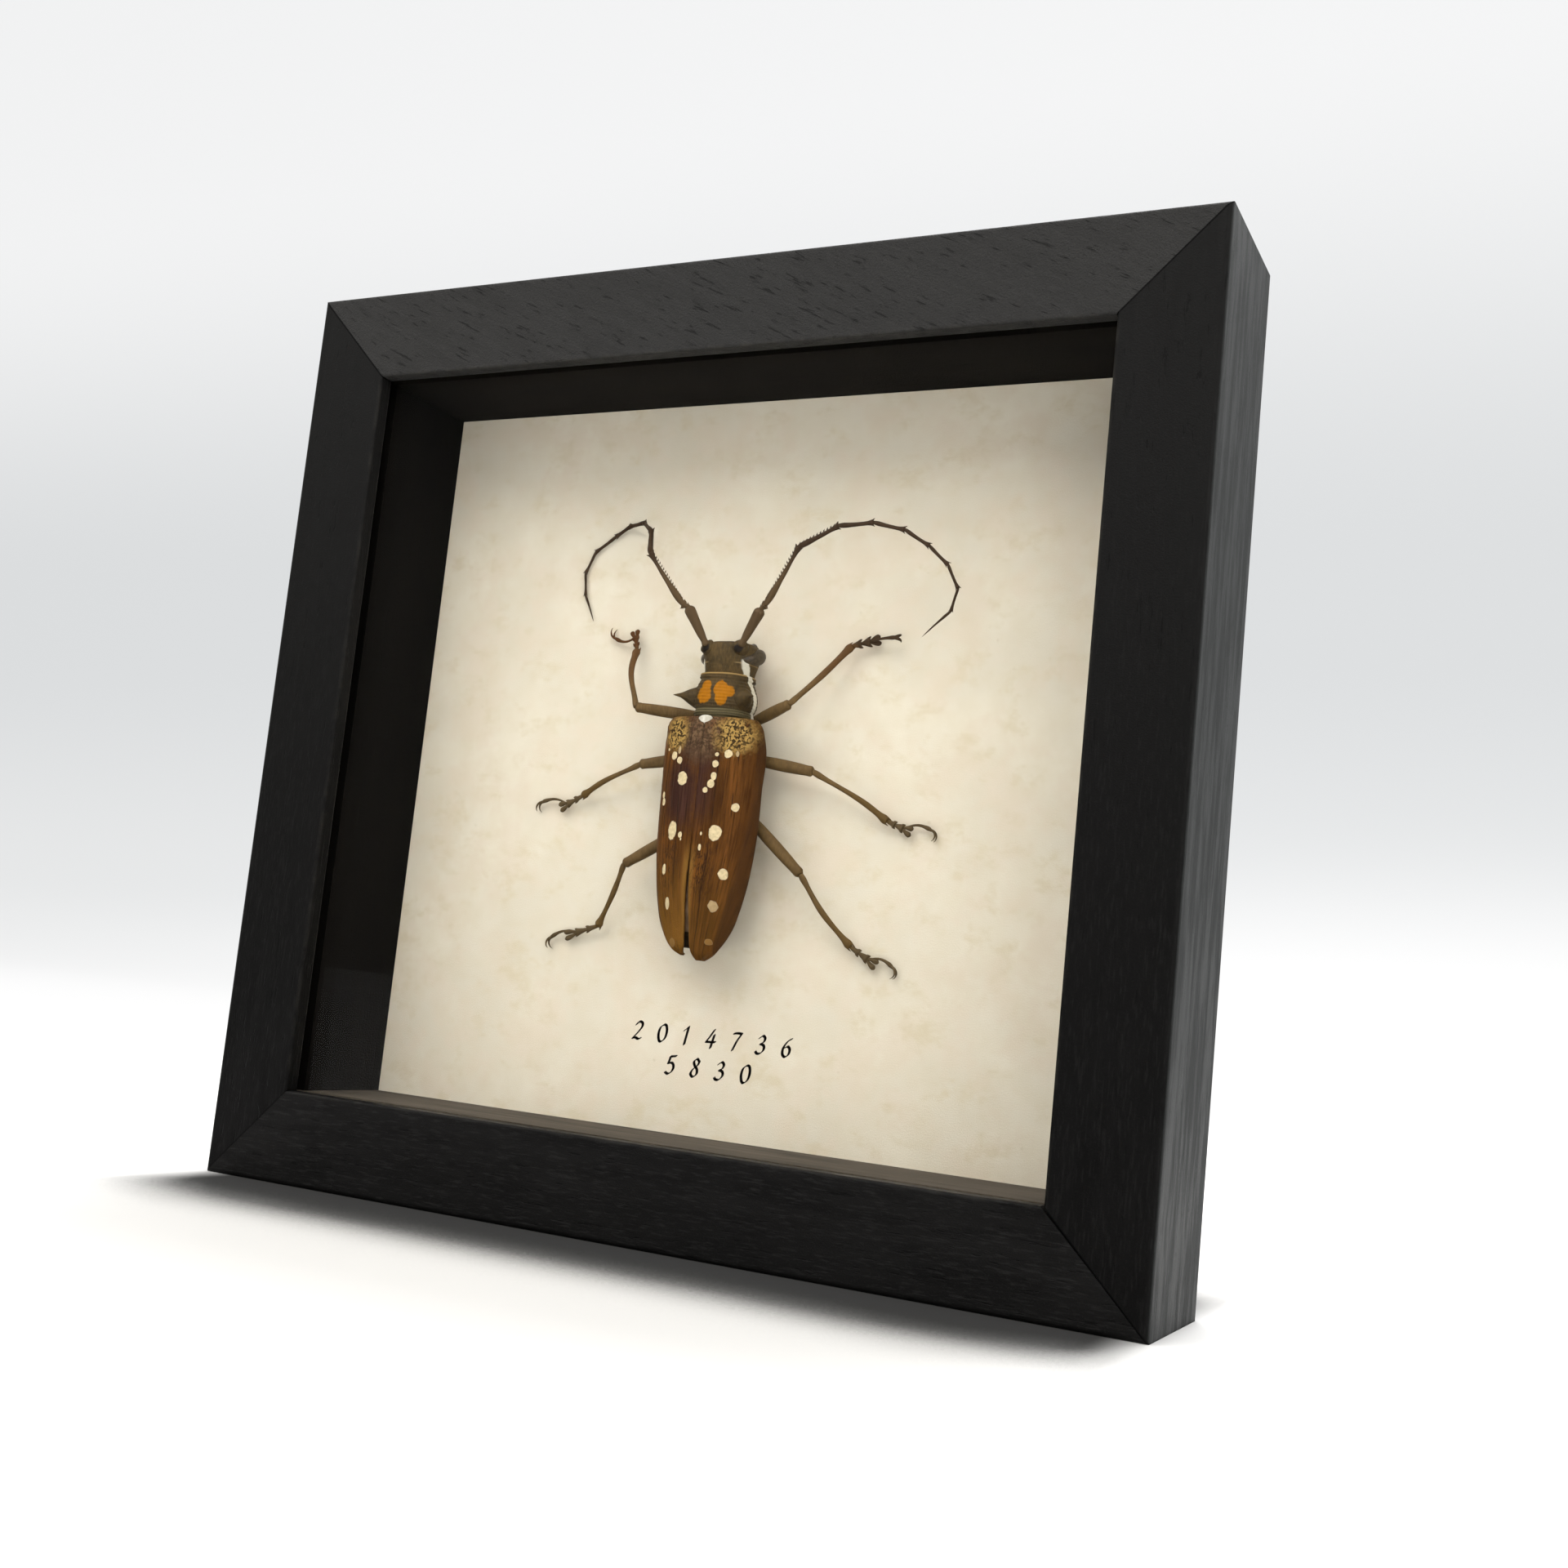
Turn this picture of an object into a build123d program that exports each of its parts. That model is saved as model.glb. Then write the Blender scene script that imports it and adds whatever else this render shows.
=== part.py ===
from build123d import *
import math
import os

# A dried longhorn beetle, set on paper in a deep wooden frame with glass.
# X runs along the width, the front faces -Y and +Z is up. The origin is under the middle of the frame.
# All sizes are in millimetres.

# Frame moulding
frame_width = 170.0
frame_height = 162.0
frame_depth = 28.0
moulding_face = 16.0
lip_thickness = 3.0
rebate_width = 5.0
outer_arris = 0.9
inner_arris = 0.5
open_mitre = 0.5

# Wedges that hold the mitres
v_nail_arm = 4.6
v_nail_thickness = 0.6
v_nail_length = 7.0

# Glass, spacers, paper and board
glass_thickness = 2.0
glass_clearance = 0.5
spacer_clearance = 0.1
paper_thickness = 0.2
board_thickness = 2.4
board_clearance = 0.5

# Turn buttons and their screws
button_length = 22.0
button_width = 8.0
button_thickness = 1.2
button_running_gap = 0.1
button_screw_inset = 5.5
button_rise = 42.0
button_screw_head_radius = 2.7
button_screw_head_height = 1.5
button_screw_radius = 1.3
button_screw_depth = 9.0
screw_head_taper = 0.72
drive_slot_length = 1.1
drive_slot_width = 0.6
drive_slot_depth = 0.7

# Ring hanger
hanger_width = 8.0
hanger_height = 8.4
hanger_thickness = 0.9
hanger_drop = 8.6
hanger_screw_drop = 4.4
hanger_screw_head_radius = 2.0
hanger_screw_head_height = 1.0
hanger_screw_radius = 1.0
hanger_screw_depth = 7.0
ring_wire_radius = 0.75
ring_running_gap = 0.1
ring_standoff = 2.2
ring_width = 13.0
ring_drop = 8.2
ring_taper = 0.82

# Where the specimen lies on the paper: the joint between its pronotum and its wing cases
specimen_left = 1.1
specimen_up = 5.6
forebody_right = 0.7

# Specimen, body
elytra_length = 41.0
elytra_half_width = 9.4
elytra_margin = 5.9
elytra_rise = 5.8
elytra_wall = 0.6
suture_gap = 0.08
elytra_gape = 1.3
elytra_gape_start = 20.0
tip_start = 0.93
tip_rounding = 0.7
ragged_tip = 1.0
pronotum_length = 7.8
pronotum_half_width = 5.4
pronotum_low = 1.3
pronotum_high = 11.2
spine_reach = 7.8
spine_drop = 0.3
spine_place = 0.47
spine_lean_out = 3.1
spine_lean_back = 2.3
spine_base_radius = 1.9
spine_needle_radius = 0.35
spine_point_radius = 0.06
head_length = 5.8
head_half_width = 4.9
head_low = 1.6
head_high = 9.8
eye_reach = 5.95
eye_inset = 1.2
eye_radius = 2.0
eye_height = 5.1
mandible_reach = 0.6
mandible_radius = 0.9
scutellum_width = 2.7
scutellum_length = 2.3
scutellum_thickness = 0.8
scutellum_stand = 0.1
thorax_length = 12.5
thorax_half_width = 8.2
body_low = 1.1
thorax_high = 10.7
abdomen_high = 10.2
abdomen_fall = 2.4
abdomen_length = 26.5
abdomen_half_width = 7.7
abdomen_taper = 0.6
abdomen_taper_power = 2.2
abdomen_lift = 0.9
sternite_count = 5
sternite_step = 0.3
sternite_lap = 0.02
hind_wing_half_width = 3.4
hind_wing_taper = 0.35
hind_wing_thickness = 0.5
hind_wing_sink = 1.2
glue_radius = 2.6
glue_height = 2.0
glue_taper = 0.75

# Specimen, antennae and legs
socket_spread = 3.3
socket_height = 9.3
socket_place = 0.83
boss_length = 3.0
boss_place = 0.66
boss_spread = 2.5
boss_foot_radius = 1.7
boss_mouth_radius = 1.25
scape_root_radius = 0.72
scape_tip_radius = 1.1
antenna_root_radius = 0.66
antenna_tip_radius = 0.2
antenna_point_radius = 0.08
knob_length = 0.9
knob_share = 0.3
knob_growth = 1.25
femur_root_radius = 0.95
femur_radius = 1.2
femur_end_radius = 1.0
tibia_root_radius = 0.55
tibia_radius = 0.66
tibia_end_radius = 0.85
front_tibia_growth = 1.2
lobe_radius = 0.8
lobe_flatness = 0.6
lobe_spread = 0.6
claw_segment_radius = 0.32
claw_segment_bow = 0.7
claw_radius = 0.2
claw_bend_radius = 1.0
claw_bend_angle = 150.0
claw_spread = 0.6

# Facets round the sections of the specimen
body_sides = 16
hidden_sides = 12
glue_sides = 8
eye_sides = 10
limb_sides = 6
fine_sides = 5
squareness = 2.5

# Derived places
ring_eye_radius = ring_wire_radius + ring_running_gap + hanger_thickness
total_depth = frame_depth + ring_standoff + ring_eye_radius
front_y = -total_depth / 2
back_y = front_y + frame_depth
glass_y = front_y + lip_thickness
spacer_y = glass_y + glass_thickness
board_y = back_y - board_thickness
paper_y = board_y - paper_thickness
sight_width = frame_width - 2 * moulding_face
sight_height = frame_height - 2 * moulding_face
rebate_opening_width = sight_width + 2 * rebate_width
rebate_opening_height = sight_height + 2 * rebate_width
wall_thickness = moulding_face - rebate_width
specimen_x = -specimen_left
specimen_z = frame_height / 2 + specimen_up


# General helpers


def block(x_range, y_range, z_range):
    """Box between three pairs of coordinates."""
    low = Vector(x_range[0], y_range[0], z_range[0])
    high = Vector(x_range[1], y_range[1], z_range[1])
    size = high - low
    middle = (low + high) * 0.5
    return Pos(middle.X, middle.Y, middle.Z) * Box(size.X, size.Y, size.Z)


def ring(centre, along, radius, sides, flatness=1.0):
    """Corners of a regular polygon, square to the direction along; flatness squeezes its height."""
    level = along.cross(Vector(0, 1, 0))
    across = level.normalized() if level.length > 0.001 else Vector(1, 0, 0)
    place = Plane(origin=centre, x_dir=across, z_dir=along)
    corners = []
    for i in range(sides):
        t = 2 * math.pi * i / sides
        corner = Vector(radius * math.cos(t), flatness * radius * math.sin(t), 0)
        corners.append(place.from_local_coords(corner))
    return corners


def flat(corners):
    return make_face(Polyline(*corners, close=True))


def skinned(rings):
    """Solid through rings of corners, with flat triangles between them and a flat face at each end."""
    faces = [flat(rings[0]), flat(rings[-1])]
    for before, after in zip(rings, rings[1:]):
        for i in range(len(before)):
            faces.append(flat([before[i - 1], before[i], after[i]]))
            faces.append(flat([before[i - 1], after[i], after[i - 1]]))
    return Solid(Shell(faces))


def limb(stations, sides=limb_sides, flatness=1.0):
    """Faceted rod through a list of centres and radii, whose section turns with the bends."""
    centres = [centre for centre, radius in stations]
    runs = [(after - before).normalized() for before, after in zip(centres, centres[1:])]
    rings = []
    for i, (centre, radius) in enumerate(stations):
        along = runs[max(i - 1, 0)] + runs[min(i, len(runs) - 1)]
        rings.append(ring(centre, along, radius, sides, flatness))
    return skinned(rings)


def bar(start, end, start_radius, end_radius, sides=limb_sides):
    return limb([(start, start_radius), (end, end_radius)], sides)


def fused(pieces):
    """One solid made of pieces that overlap."""
    first, *rest = pieces
    return first.fuse(*rest) if rest else first


def between(start, end, share):
    """Point at a share of the way from start to end."""
    return start + (end - start) * share


def blend(low, high, share):
    return low + (high - low) * share


# Frame


def rail(length):
    """Mitred length of rebated moulding along X, its outer face on Z = 0 and its front on Y = 0."""
    inner = wall_thickness
    outline = Polyline(
        (0, 0),
        (0, moulding_face),
        (lip_thickness, moulding_face),
        (lip_thickness, inner),
        (frame_depth, inner),
        (frame_depth, 0),
        close=True,
    )
    body = Pos(-length / 2, 0, 0) * extrude(Plane.YZ * make_face(outline), amount=length)
    long_edges = body.edges().filter_by(Axis.X)
    outer_edges = [e for e in long_edges if e.center().Z < 0.01]
    body = fillet(outer_edges, outer_arris)
    long_edges = body.edges().filter_by(Axis.X)
    inner_edges = [e for e in long_edges if e.center().Z > moulding_face - 0.01]
    body = fillet(inner_edges, inner_arris)
    for side in (-1, 1):
        mitre = Plane(origin=(side * length / 2, 0, 0), z_dir=(side, 0, 1))
        body = split(body, bisect_by=mitre, keep=Keep.BOTTOM)
    return body


def frame_rails():
    """The four rails in their places, before their slots and screw holes."""
    half_width = frame_width / 2
    middle = frame_height / 2
    side = rail(frame_height)
    level = rail(frame_width)
    return {
        "rail_bottom": Pos(0, front_y, 0) * level,
        "rail_top": Pos(0, front_y, frame_height) * Rot(0, 180, 0) * level,
        "rail_left": Pos(-half_width, front_y, middle) * Rot(0, 90, 0) * side,
        "rail_right": Pos(half_width, front_y, middle) * Rot(0, -90, 0) * side,
    }


def mitre_crack():
    """Thin wedge of air in the lower right mitre, open at the sight edge and shut at the outer corner."""
    outer = (frame_width / 2, 0)
    sight = (frame_width / 2 - moulding_face, moulding_face)
    parted = (sight[0] - open_mitre, moulding_face)
    face = make_face(Plane.XZ * Polyline(outer, sight, parted, close=True))
    return Pos(0, back_y, 0) * extrude(face, amount=frame_depth)


def v_nails():
    """One right-angled steel wedge across each mitre, pressed in flush with the back."""
    arm = v_nail_arm
    thickness = v_nail_thickness
    reach = wall_thickness / 2 - arm / 2
    outline = Polyline(
        (0, 0),
        (-arm, 0),
        (-arm, thickness),
        (-thickness, thickness),
        (-thickness, arm),
        (0, arm),
        close=True,
    )
    nail = extrude(make_face(Plane.XZ * outline), amount=v_nail_length, dir=(0, -1, 0))
    nails = []
    for side_x in (-1, 1):
        for side_z in (-1, 1):
            turn = {(1, -1): 0, (1, 1): -90, (-1, 1): 180, (-1, -1): 90}[(side_x, side_z)]
            x = side_x * (frame_width / 2 - reach)
            z = frame_height / 2 + side_z * (frame_height / 2 - reach)
            nails.append(Pos(x, back_y, z) * Rot(0, turn, 0) * nail)
    return nails


# Glass, spacers, paper and board


def plate(clearance, y_start, thickness):
    """Flat sheet that lies in the rebate with the same clearance all round."""
    half_width = rebate_opening_width / 2 - clearance
    half_height = rebate_opening_height / 2 - clearance
    middle = frame_height / 2
    across = (-half_width, half_width)
    upright = (middle - half_height, middle + half_height)
    return block(across, (y_start, y_start + thickness), upright)


def spacers():
    """Four strips between the glass and the paper, the side ones standing between the level ones."""
    outer_x = rebate_opening_width / 2 - spacer_clearance
    inner_x = sight_width / 2
    middle = frame_height / 2
    outer_z = rebate_opening_height / 2 - spacer_clearance
    inner_z = sight_height / 2
    depth = (spacer_y, paper_y)
    return {
        "spacer_top": block((-outer_x, outer_x), depth, (middle + inner_z, middle + outer_z)),
        "spacer_bottom": block((-outer_x, outer_x), depth, (middle - outer_z, middle - inner_z)),
        "spacer_left": block((-outer_x, -inner_x), depth, (middle - inner_z, middle + inner_z)),
        "spacer_right": block((inner_x, outer_x), depth, (middle - inner_z, middle + inner_z)),
    }


# Back hardware


def screw(head_radius, head_height, shank_radius, shank_length, seat_y):
    """Pan-head screw whose head stands on the plane Y = seat_y, with a cross slot."""
    up = Plane(origin=(0, seat_y, 0), z_dir=(0, 1, 0))
    standing = (Align.CENTER, Align.CENTER, Align.MIN)
    head = Cone(head_radius, screw_head_taper * head_radius, head_height, align=standing)
    for turn in (0, 90):
        slot = Box(drive_slot_length * head_radius, drive_slot_width, 2 * drive_slot_depth)
        head -= Pos(0, 0, head_height) * Rot(0, 0, turn) * slot
    shank = Cylinder(shank_radius, shank_length, align=(Align.CENTER, Align.CENTER, Align.MAX))
    return up * fused([head, shank])


def button_places():
    """Screw centres of the turn buttons: two on each side rail."""
    x = frame_width / 2 - button_screw_inset
    middle = frame_height / 2
    return [
        (-x, middle + button_rise),
        (x, middle + button_rise),
        (-x, middle - button_rise),
        (x, middle - button_rise),
    ]


def turn_button(x, z):
    """Flat steel button that reaches from its screw inwards over the board."""
    inward = -1 if x > 0 else 1
    span = button_length - button_width
    face = Plane.XZ * Pos(span / 2, 0) * SlotOverall(button_length, button_width)
    body = extrude(face, amount=-button_thickness)
    hole_radius = button_screw_radius + button_running_gap
    body -= Rot(90, 0, 0) * Cylinder(hole_radius, 4 * button_thickness)
    turned = Rot(0, 0 if inward > 0 else 180, 0) * body
    return Pos(x, back_y + button_running_gap, z) * turned


def button_screw(x, z):
    seat_y = back_y + button_thickness + 2 * button_running_gap
    length = button_screw_depth + seat_y - back_y
    body = screw(button_screw_head_radius, button_screw_head_height, button_screw_radius, length, seat_y)
    return Pos(x, 0, z) * body


hanger_top = frame_height - (wall_thickness - hanger_height) / 2
ring_axis_z = hanger_top - hanger_drop
ring_axis_y = back_y + ring_standoff


def hanger_plate():
    """Strap folded into an eye round the ring's straight bar."""
    eye = Rot(0, 90, 0) * Cylinder(ring_eye_radius, hanger_width)
    eye = Pos(0, ring_axis_y, ring_axis_z) * eye
    across = (-hanger_width / 2, hanger_width / 2)
    leaf = block(across, (back_y, back_y + hanger_thickness), (ring_axis_z, hanger_top))
    eye_foot = ring_axis_z - ring_eye_radius
    web = block(across, (back_y, ring_axis_y), (eye_foot, eye_foot + hanger_thickness))
    body = fused([leaf, eye, web])
    bore = Rot(0, 90, 0) * Cylinder(ring_wire_radius + ring_running_gap, 2 * hanger_width)
    return body - Pos(0, ring_axis_y, ring_axis_z) * bore


def hanger_ring():
    """D-shaped wire ring that hangs from its straight bar."""
    half = ring_width / 2 - ring_wire_radius
    drop = ring_drop - ring_wire_radius
    foot = half * ring_taper
    corners = [(0, 0, 0), (half, 0, 0), (foot, 0, -drop), (-foot, 0, -drop), (-half, 0, 0)]
    outline = Polyline(*corners, close=True)
    profile = Plane(origin=outline @ 0, z_dir=outline % 0) * Circle(ring_wire_radius)
    ring = sweep(profile, path=outline, transition=Transition.RIGHT)
    return Pos(0, ring_axis_y, ring_axis_z) * ring


# Specimen helpers: u to the right of its midline, v forward of its wing cases, h above the paper


def at(u, v, h):
    return Vector(specimen_x + u, paper_y - h, specimen_z + v)


def fore(u, v, h):
    """Place on the head and pronotum, whose midline lies a little to the right of the wing cases'."""
    return at(forebody_right + u, v, h)


def power(value, exponent):
    return math.copysign(abs(value) ** exponent, value)


def oval(place, v, half_width, low, high, sides=body_sides):
    """Closed cross-section at station v, between a box and an ellipse in shape."""
    middle = (low + high) / 2
    corners = []
    for i in range(sides):
        t = 2 * math.pi * i / sides
        u = half_width * power(math.cos(t), 2 / squareness)
        h = middle + (high - middle) * power(math.sin(t), 2 / squareness)
        corners.append(place(u, v, h))
    return corners


# Wing cases: share of the length, of the half width and of the rise, and how far the margin lifts

elytra_stations = [
    (0.0, 0.86, 0.9, 1.6),
    (0.02, 0.93, 0.96, 1.4),
    (0.08, 0.99, 1.0, 0.6),
    (0.3, 1.0, 1.0, 0.2),
    (0.46, 0.99, 1.0, 0.0),
    (0.58, 0.955, 1.0, 0.0),
    (0.69, 0.89, 0.99, 0.0),
    (0.78, 0.815, 0.9, 0.2),
    (0.87, 0.7, 0.76, 0.4),
    (0.94, 0.52, 0.66, 0.6),
    (0.98, 0.37, 0.55, 0.7),
    (1.0, 0.24, 0.4, 0.8),
]
outer_facets = 8
inner_facets = 3


def quarter(facets, inner, outer, low, high):
    """Corners of a squarish quarter ellipse, from its top at inner to its foot at outer."""
    corners = []
    for i in range(facets + 1):
        t = math.pi / 2 * i / facets
        u = inner + (outer - inner) * math.sin(t) ** (2 / squareness)
        corners.append((u, low + (high - low) * math.cos(t) ** (2 / squareness)))
    return corners


def elytron_section(share, width_share, rise_share, margin_lift, side):
    """Crescent across one wing case, from the suture over the crown to the margin and back inside."""
    length = elytra_length - (ragged_tip if side < 0 else 0.0)
    opened = max(0.0, share * elytra_length - elytra_gape_start) / (elytra_length - elytra_gape_start)
    rounding = max(0.0, share - tip_start) / (1.0 - tip_start)
    inner = suture_gap / 2 + elytra_gape / 2 * opened + tip_rounding * rounding**2
    outer = width_share * elytra_half_width
    margin = elytra_margin + margin_lift
    top = elytra_margin + rise_share * elytra_rise
    corners = quarter(outer_facets, inner, outer, margin, top)
    corners += quarter(inner_facets, inner, outer - elytra_wall, margin, top - elytra_wall)[::-1]
    return [at(side * u, -share * length, h) for u, h in corners]


def elytron(side):
    """Wing case: a thin crowned shell that narrows and drops to a rounded tip."""
    return skinned([elytron_section(*station, side) for station in elytra_stations])


# Pronotum and head: share of the length, then shares of the half width and of the height

pronotum_stations = [
    (0.0, 0.9, 0.9),
    (0.1, 0.95, 0.95),
    (0.17, 0.91, 0.93),
    (0.26, 0.96, 0.97),
    (0.5, 1.0, 1.0),
    (0.74, 0.91, 0.93),
    (0.88, 0.84, 0.87),
    (1.0, 0.87, 0.88),
]

head_stations = [
    (0.0, 0.85, 0.88),
    (0.25, 0.91, 0.94),
    (0.6, 1.0, 1.0),
    (0.92, 0.94, 0.97),
    (1.0, 0.82, 0.9),
]


def barrel(stations, root, length, half_width, low, high):
    """Body section whose width and height swell and narrow along its length."""
    middle = (low + high) / 2
    rings = []
    for share, width_share, height_share in stations:
        rise = height_share * (high - low) / 2
        v = root + share * length
        rings.append(oval(fore, v, width_share * half_width, middle - rise, middle + rise))
    return skinned(rings)


# Spine of the pronotum: share of its length, and its radius there
spine_stations = [
    (0.0, spine_base_radius),
    (0.3, 0.62 * spine_base_radius),
    (0.66, spine_needle_radius),
    (1.0, spine_point_radius),
]


def spine(side):
    """Side spine of the pronotum: a broad cone drawn out into a needle, pointing out and up."""
    tip = fore(side * spine_reach, spine_place * pronotum_length, pronotum_high - spine_drop)
    root = tip - Vector(side * spine_lean_out, -spine_lean_back, 0)
    return limb([(between(root, tip, share), radius) for share, radius in spine_stations], fine_sides)


def pronotum():
    shell = barrel(pronotum_stations, 0.0, pronotum_length, pronotum_half_width, pronotum_low, pronotum_high)
    return fused([shell, spine(-1), spine(1)])


def antenna_socket(side):
    return fore(side * socket_spread, pronotum_length + socket_place * head_length, socket_height)


def head():
    """Head capsule with a boss under each antenna."""
    shell = barrel(head_stations, pronotum_length, head_length, head_half_width, head_low, head_high)
    bosses = []
    for side in (-1, 1):
        foot_v = pronotum_length + boss_place * head_length
        foot_of_boss = fore(side * boss_spread, foot_v, socket_height - boss_length)
        bosses.append(bar(foot_of_boss, antenna_socket(side), boss_foot_radius, boss_mouth_radius))
    return fused([shell] + bosses)


# Eye: share of the way out of the head, and share of its radius there
eye_stations = [(0.0, 1.0), (0.6, 0.97), (0.85, 0.76), (1.0, 0.36)]


def eye(side):
    """Bulging eye on the side of the head, below and behind the antenna."""
    v = pronotum_length + head_length / 2
    inside = fore(side * (head_half_width - eye_inset), v, eye_height)
    outside = fore(side * eye_reach, v, eye_height)
    stations = [(between(inside, outside, share), girth * eye_radius) for share, girth in eye_stations]
    return limb(stations, eye_sides)


# Jaw: out from the midline, back from its foremost point, up from the head's underside, share of its radius
mandible_stations = [
    (2.0, 2.4, 1.4, 1.0),
    (2.1, 0.4, 0.5, 0.75),
    (1.2, 0.0, -0.3, 0.42),
    (0.3, 0.1, -0.8, 0.12),
]


def mandible(side):
    """Curved, tapered jaw under the face, its tip turned in and down to the paper."""
    foremost = pronotum_length + head_length + mandible_reach
    stations = []
    for out, back, up, girth in mandible_stations:
        centre = fore(side * out, foremost - back, head_low + up)
        stations.append((centre, girth * mandible_radius))
    return limb(stations, fine_sides)


# Right half of the scutellum's outline: share of its half width, and of its length back from the joint
scutellum_outline = [(1.0, -0.3), (0.95, 0.14), (0.7, 0.46), (0.3, 0.67)]
scutellum_rise = 0.96


def scutellum():
    """Small rounded shield that lies between the roots of the wing cases."""
    top = elytra_margin + scutellum_rise * elytra_rise + scutellum_stand
    right = [(u * scutellum_width / 2, -v * scutellum_length) for u, v in scutellum_outline]
    left = [(-u, v) for u, v in reversed(right)]
    face = flat([at(u, v, top) for u, v in right + left])
    return extrude(face, amount=scutellum_thickness, dir=(0, 1, 0))


# Thorax: share of the length and of the half width, lift of its underside and dip of its top
thorax_stations = [
    (0.0, 0.62, 0.6, 1.3),
    (0.1, 0.84, 0.1, 0.5),
    (0.5, 1.0, 0.0, 0.1),
    (1.0, 0.97, 0.1, 0.9),
]


def thorax():
    """Middle and hind thorax, from the pronotum's rear face to the abdomen."""
    rings = []
    for share, width_share, lift, dip in thorax_stations:
        half_width = width_share * thorax_half_width
        v = -share * thorax_length
        rings.append(oval(at, v, half_width, body_low + lift, thorax_high - dip, hidden_sides))
    return skinned(rings)


def abdomen_top(share):
    """Height of the abdomen's back above the paper at a share of its length."""
    return abdomen_high - abdomen_fall * share**2


def abdomen():
    """Overlapping plates that narrow to the tail, each a little wider than the root of the next."""
    rings = []
    for i in range(sternite_count):
        for end, flare in ((0.0, 0.0), (1.0, sternite_step)):
            share = (i + end) / sternite_count
            taper = 1.0 - abdomen_taper * share**abdomen_taper_power
            half_width = abdomen_half_width * taper + flare - sternite_step
            low = body_low + sternite_step + abdomen_lift * share**2 - flare
            lap = sternite_lap if i and end == 0.0 else 0.0
            v = -thorax_length - share * abdomen_length - lap
            high = abdomen_top(share) - sternite_step + flare
            rings.append(oval(at, v, half_width, low, high, hidden_sides))
    return skinned(rings)


# Shares of the abdomen's length at which the folded membranes have a section
hind_wing_shares = [0.05, 0.4, 0.7, 0.9]


def hind_wings():
    """Folded membranes that lie on the abdomen under the suture."""
    rings = []
    for share in hind_wing_shares:
        half_width = hind_wing_half_width * (1.0 - hind_wing_taper * share)
        v = -thorax_length - share * abdomen_length
        edge = abdomen_top(share)
        low = edge - hind_wing_sink
        ridge = edge + hind_wing_thickness
        right = [(half_width, low), (half_width, edge)]
        left = [(-half_width, edge), (-half_width, low)]
        rings.append([at(u, v, h) for u, h in right + [(0, ridge)] + left])
    return skinned(rings)


# Places of the glue under the pronotum, the thorax and the abdomen, forward of the wing cases
glue_places = [3.9, -4.4, -20.0]


def glue_dabs():
    """Dabs of glue between the paper and the underside."""
    dabs = []
    for v in glue_places:
        top = at(0, v, glue_height)
        dabs.append(bar(at(0, v, 0), top, glue_radius, glue_taper * glue_radius, glue_sides))
    return dabs


# Antennae: joints after the socket, out from the midline, forward and above the paper

antenna_joints = {
    -1: [
        (6.2, 19.1, 10.5),
        (7.3, 19.6, 10.7),
        (14.2, 28.5, 12.0),
        (17.7, 34.1, 7.0),
        (21.9, 36.8, 3.0),
        (26.2, 36.8, 0.9),
        (29.2, 35.0, 0.6),
        (33.2, 32.2, 0.6),
        (35.0, 28.2, 0.5),
        (34.4, 24.0, 0.5),
        (32.1, 19.2, 0.4),
    ],
    1: [
        (7.9, 18.6, 10.5),
        (8.8, 19.3, 10.8),
        (14.4, 29.1, 11.5),
        (21.4, 32.5, 11.5),
        (27.5, 33.0, 11.0),
        (32.9, 31.8, 10.3),
        (37.1, 29.2, 9.5),
        (40.3, 26.2, 8.7),
        (42.1, 22.4, 8.0),
        (41.0, 18.8, 7.5),
        (36.2, 14.7, 7.0),
    ],
}


def antenna(side):
    """Eleven segments: a club-like scape, a short pedicel, then thinner rods with a knob at each end."""
    joints = [antenna_socket(side)]
    joints += [at(side * u, v, h) for u, v, h in antenna_joints[side]]
    rooted = joints[0] - (joints[1] - joints[0]).normalized() * scape_root_radius
    stations = [
        (rooted, scape_root_radius),
        (between(joints[0], joints[1], 0.75), 0.95 * scape_tip_radius),
        (between(joints[0], joints[1], 0.92), scape_tip_radius),
        (joints[1], antenna_root_radius),
    ]
    count = len(joints) - 1
    for i in range(1, count):
        start, end = joints[i], joints[i + 1]
        length = (end - start).length
        radius = blend(antenna_root_radius, antenna_tip_radius, (i - 1) / (count - 2))
        if i == count - 1:
            stations.append((end, antenna_point_radius))
            continue
        knob = min(knob_length, knob_share * length)
        stations.append((between(start, end, 0.4 * knob / length), 0.85 * radius))
        stations.append((between(start, end, 1.0 - knob / length), radius))
        stations.append((between(start, end, 1.0 - 0.25 * knob / length), knob_growth * radius))
    return limb(stations)


# Legs: hip, knee, calf, ankle, toe and claws, out from the midline, forward and above the paper

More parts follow.
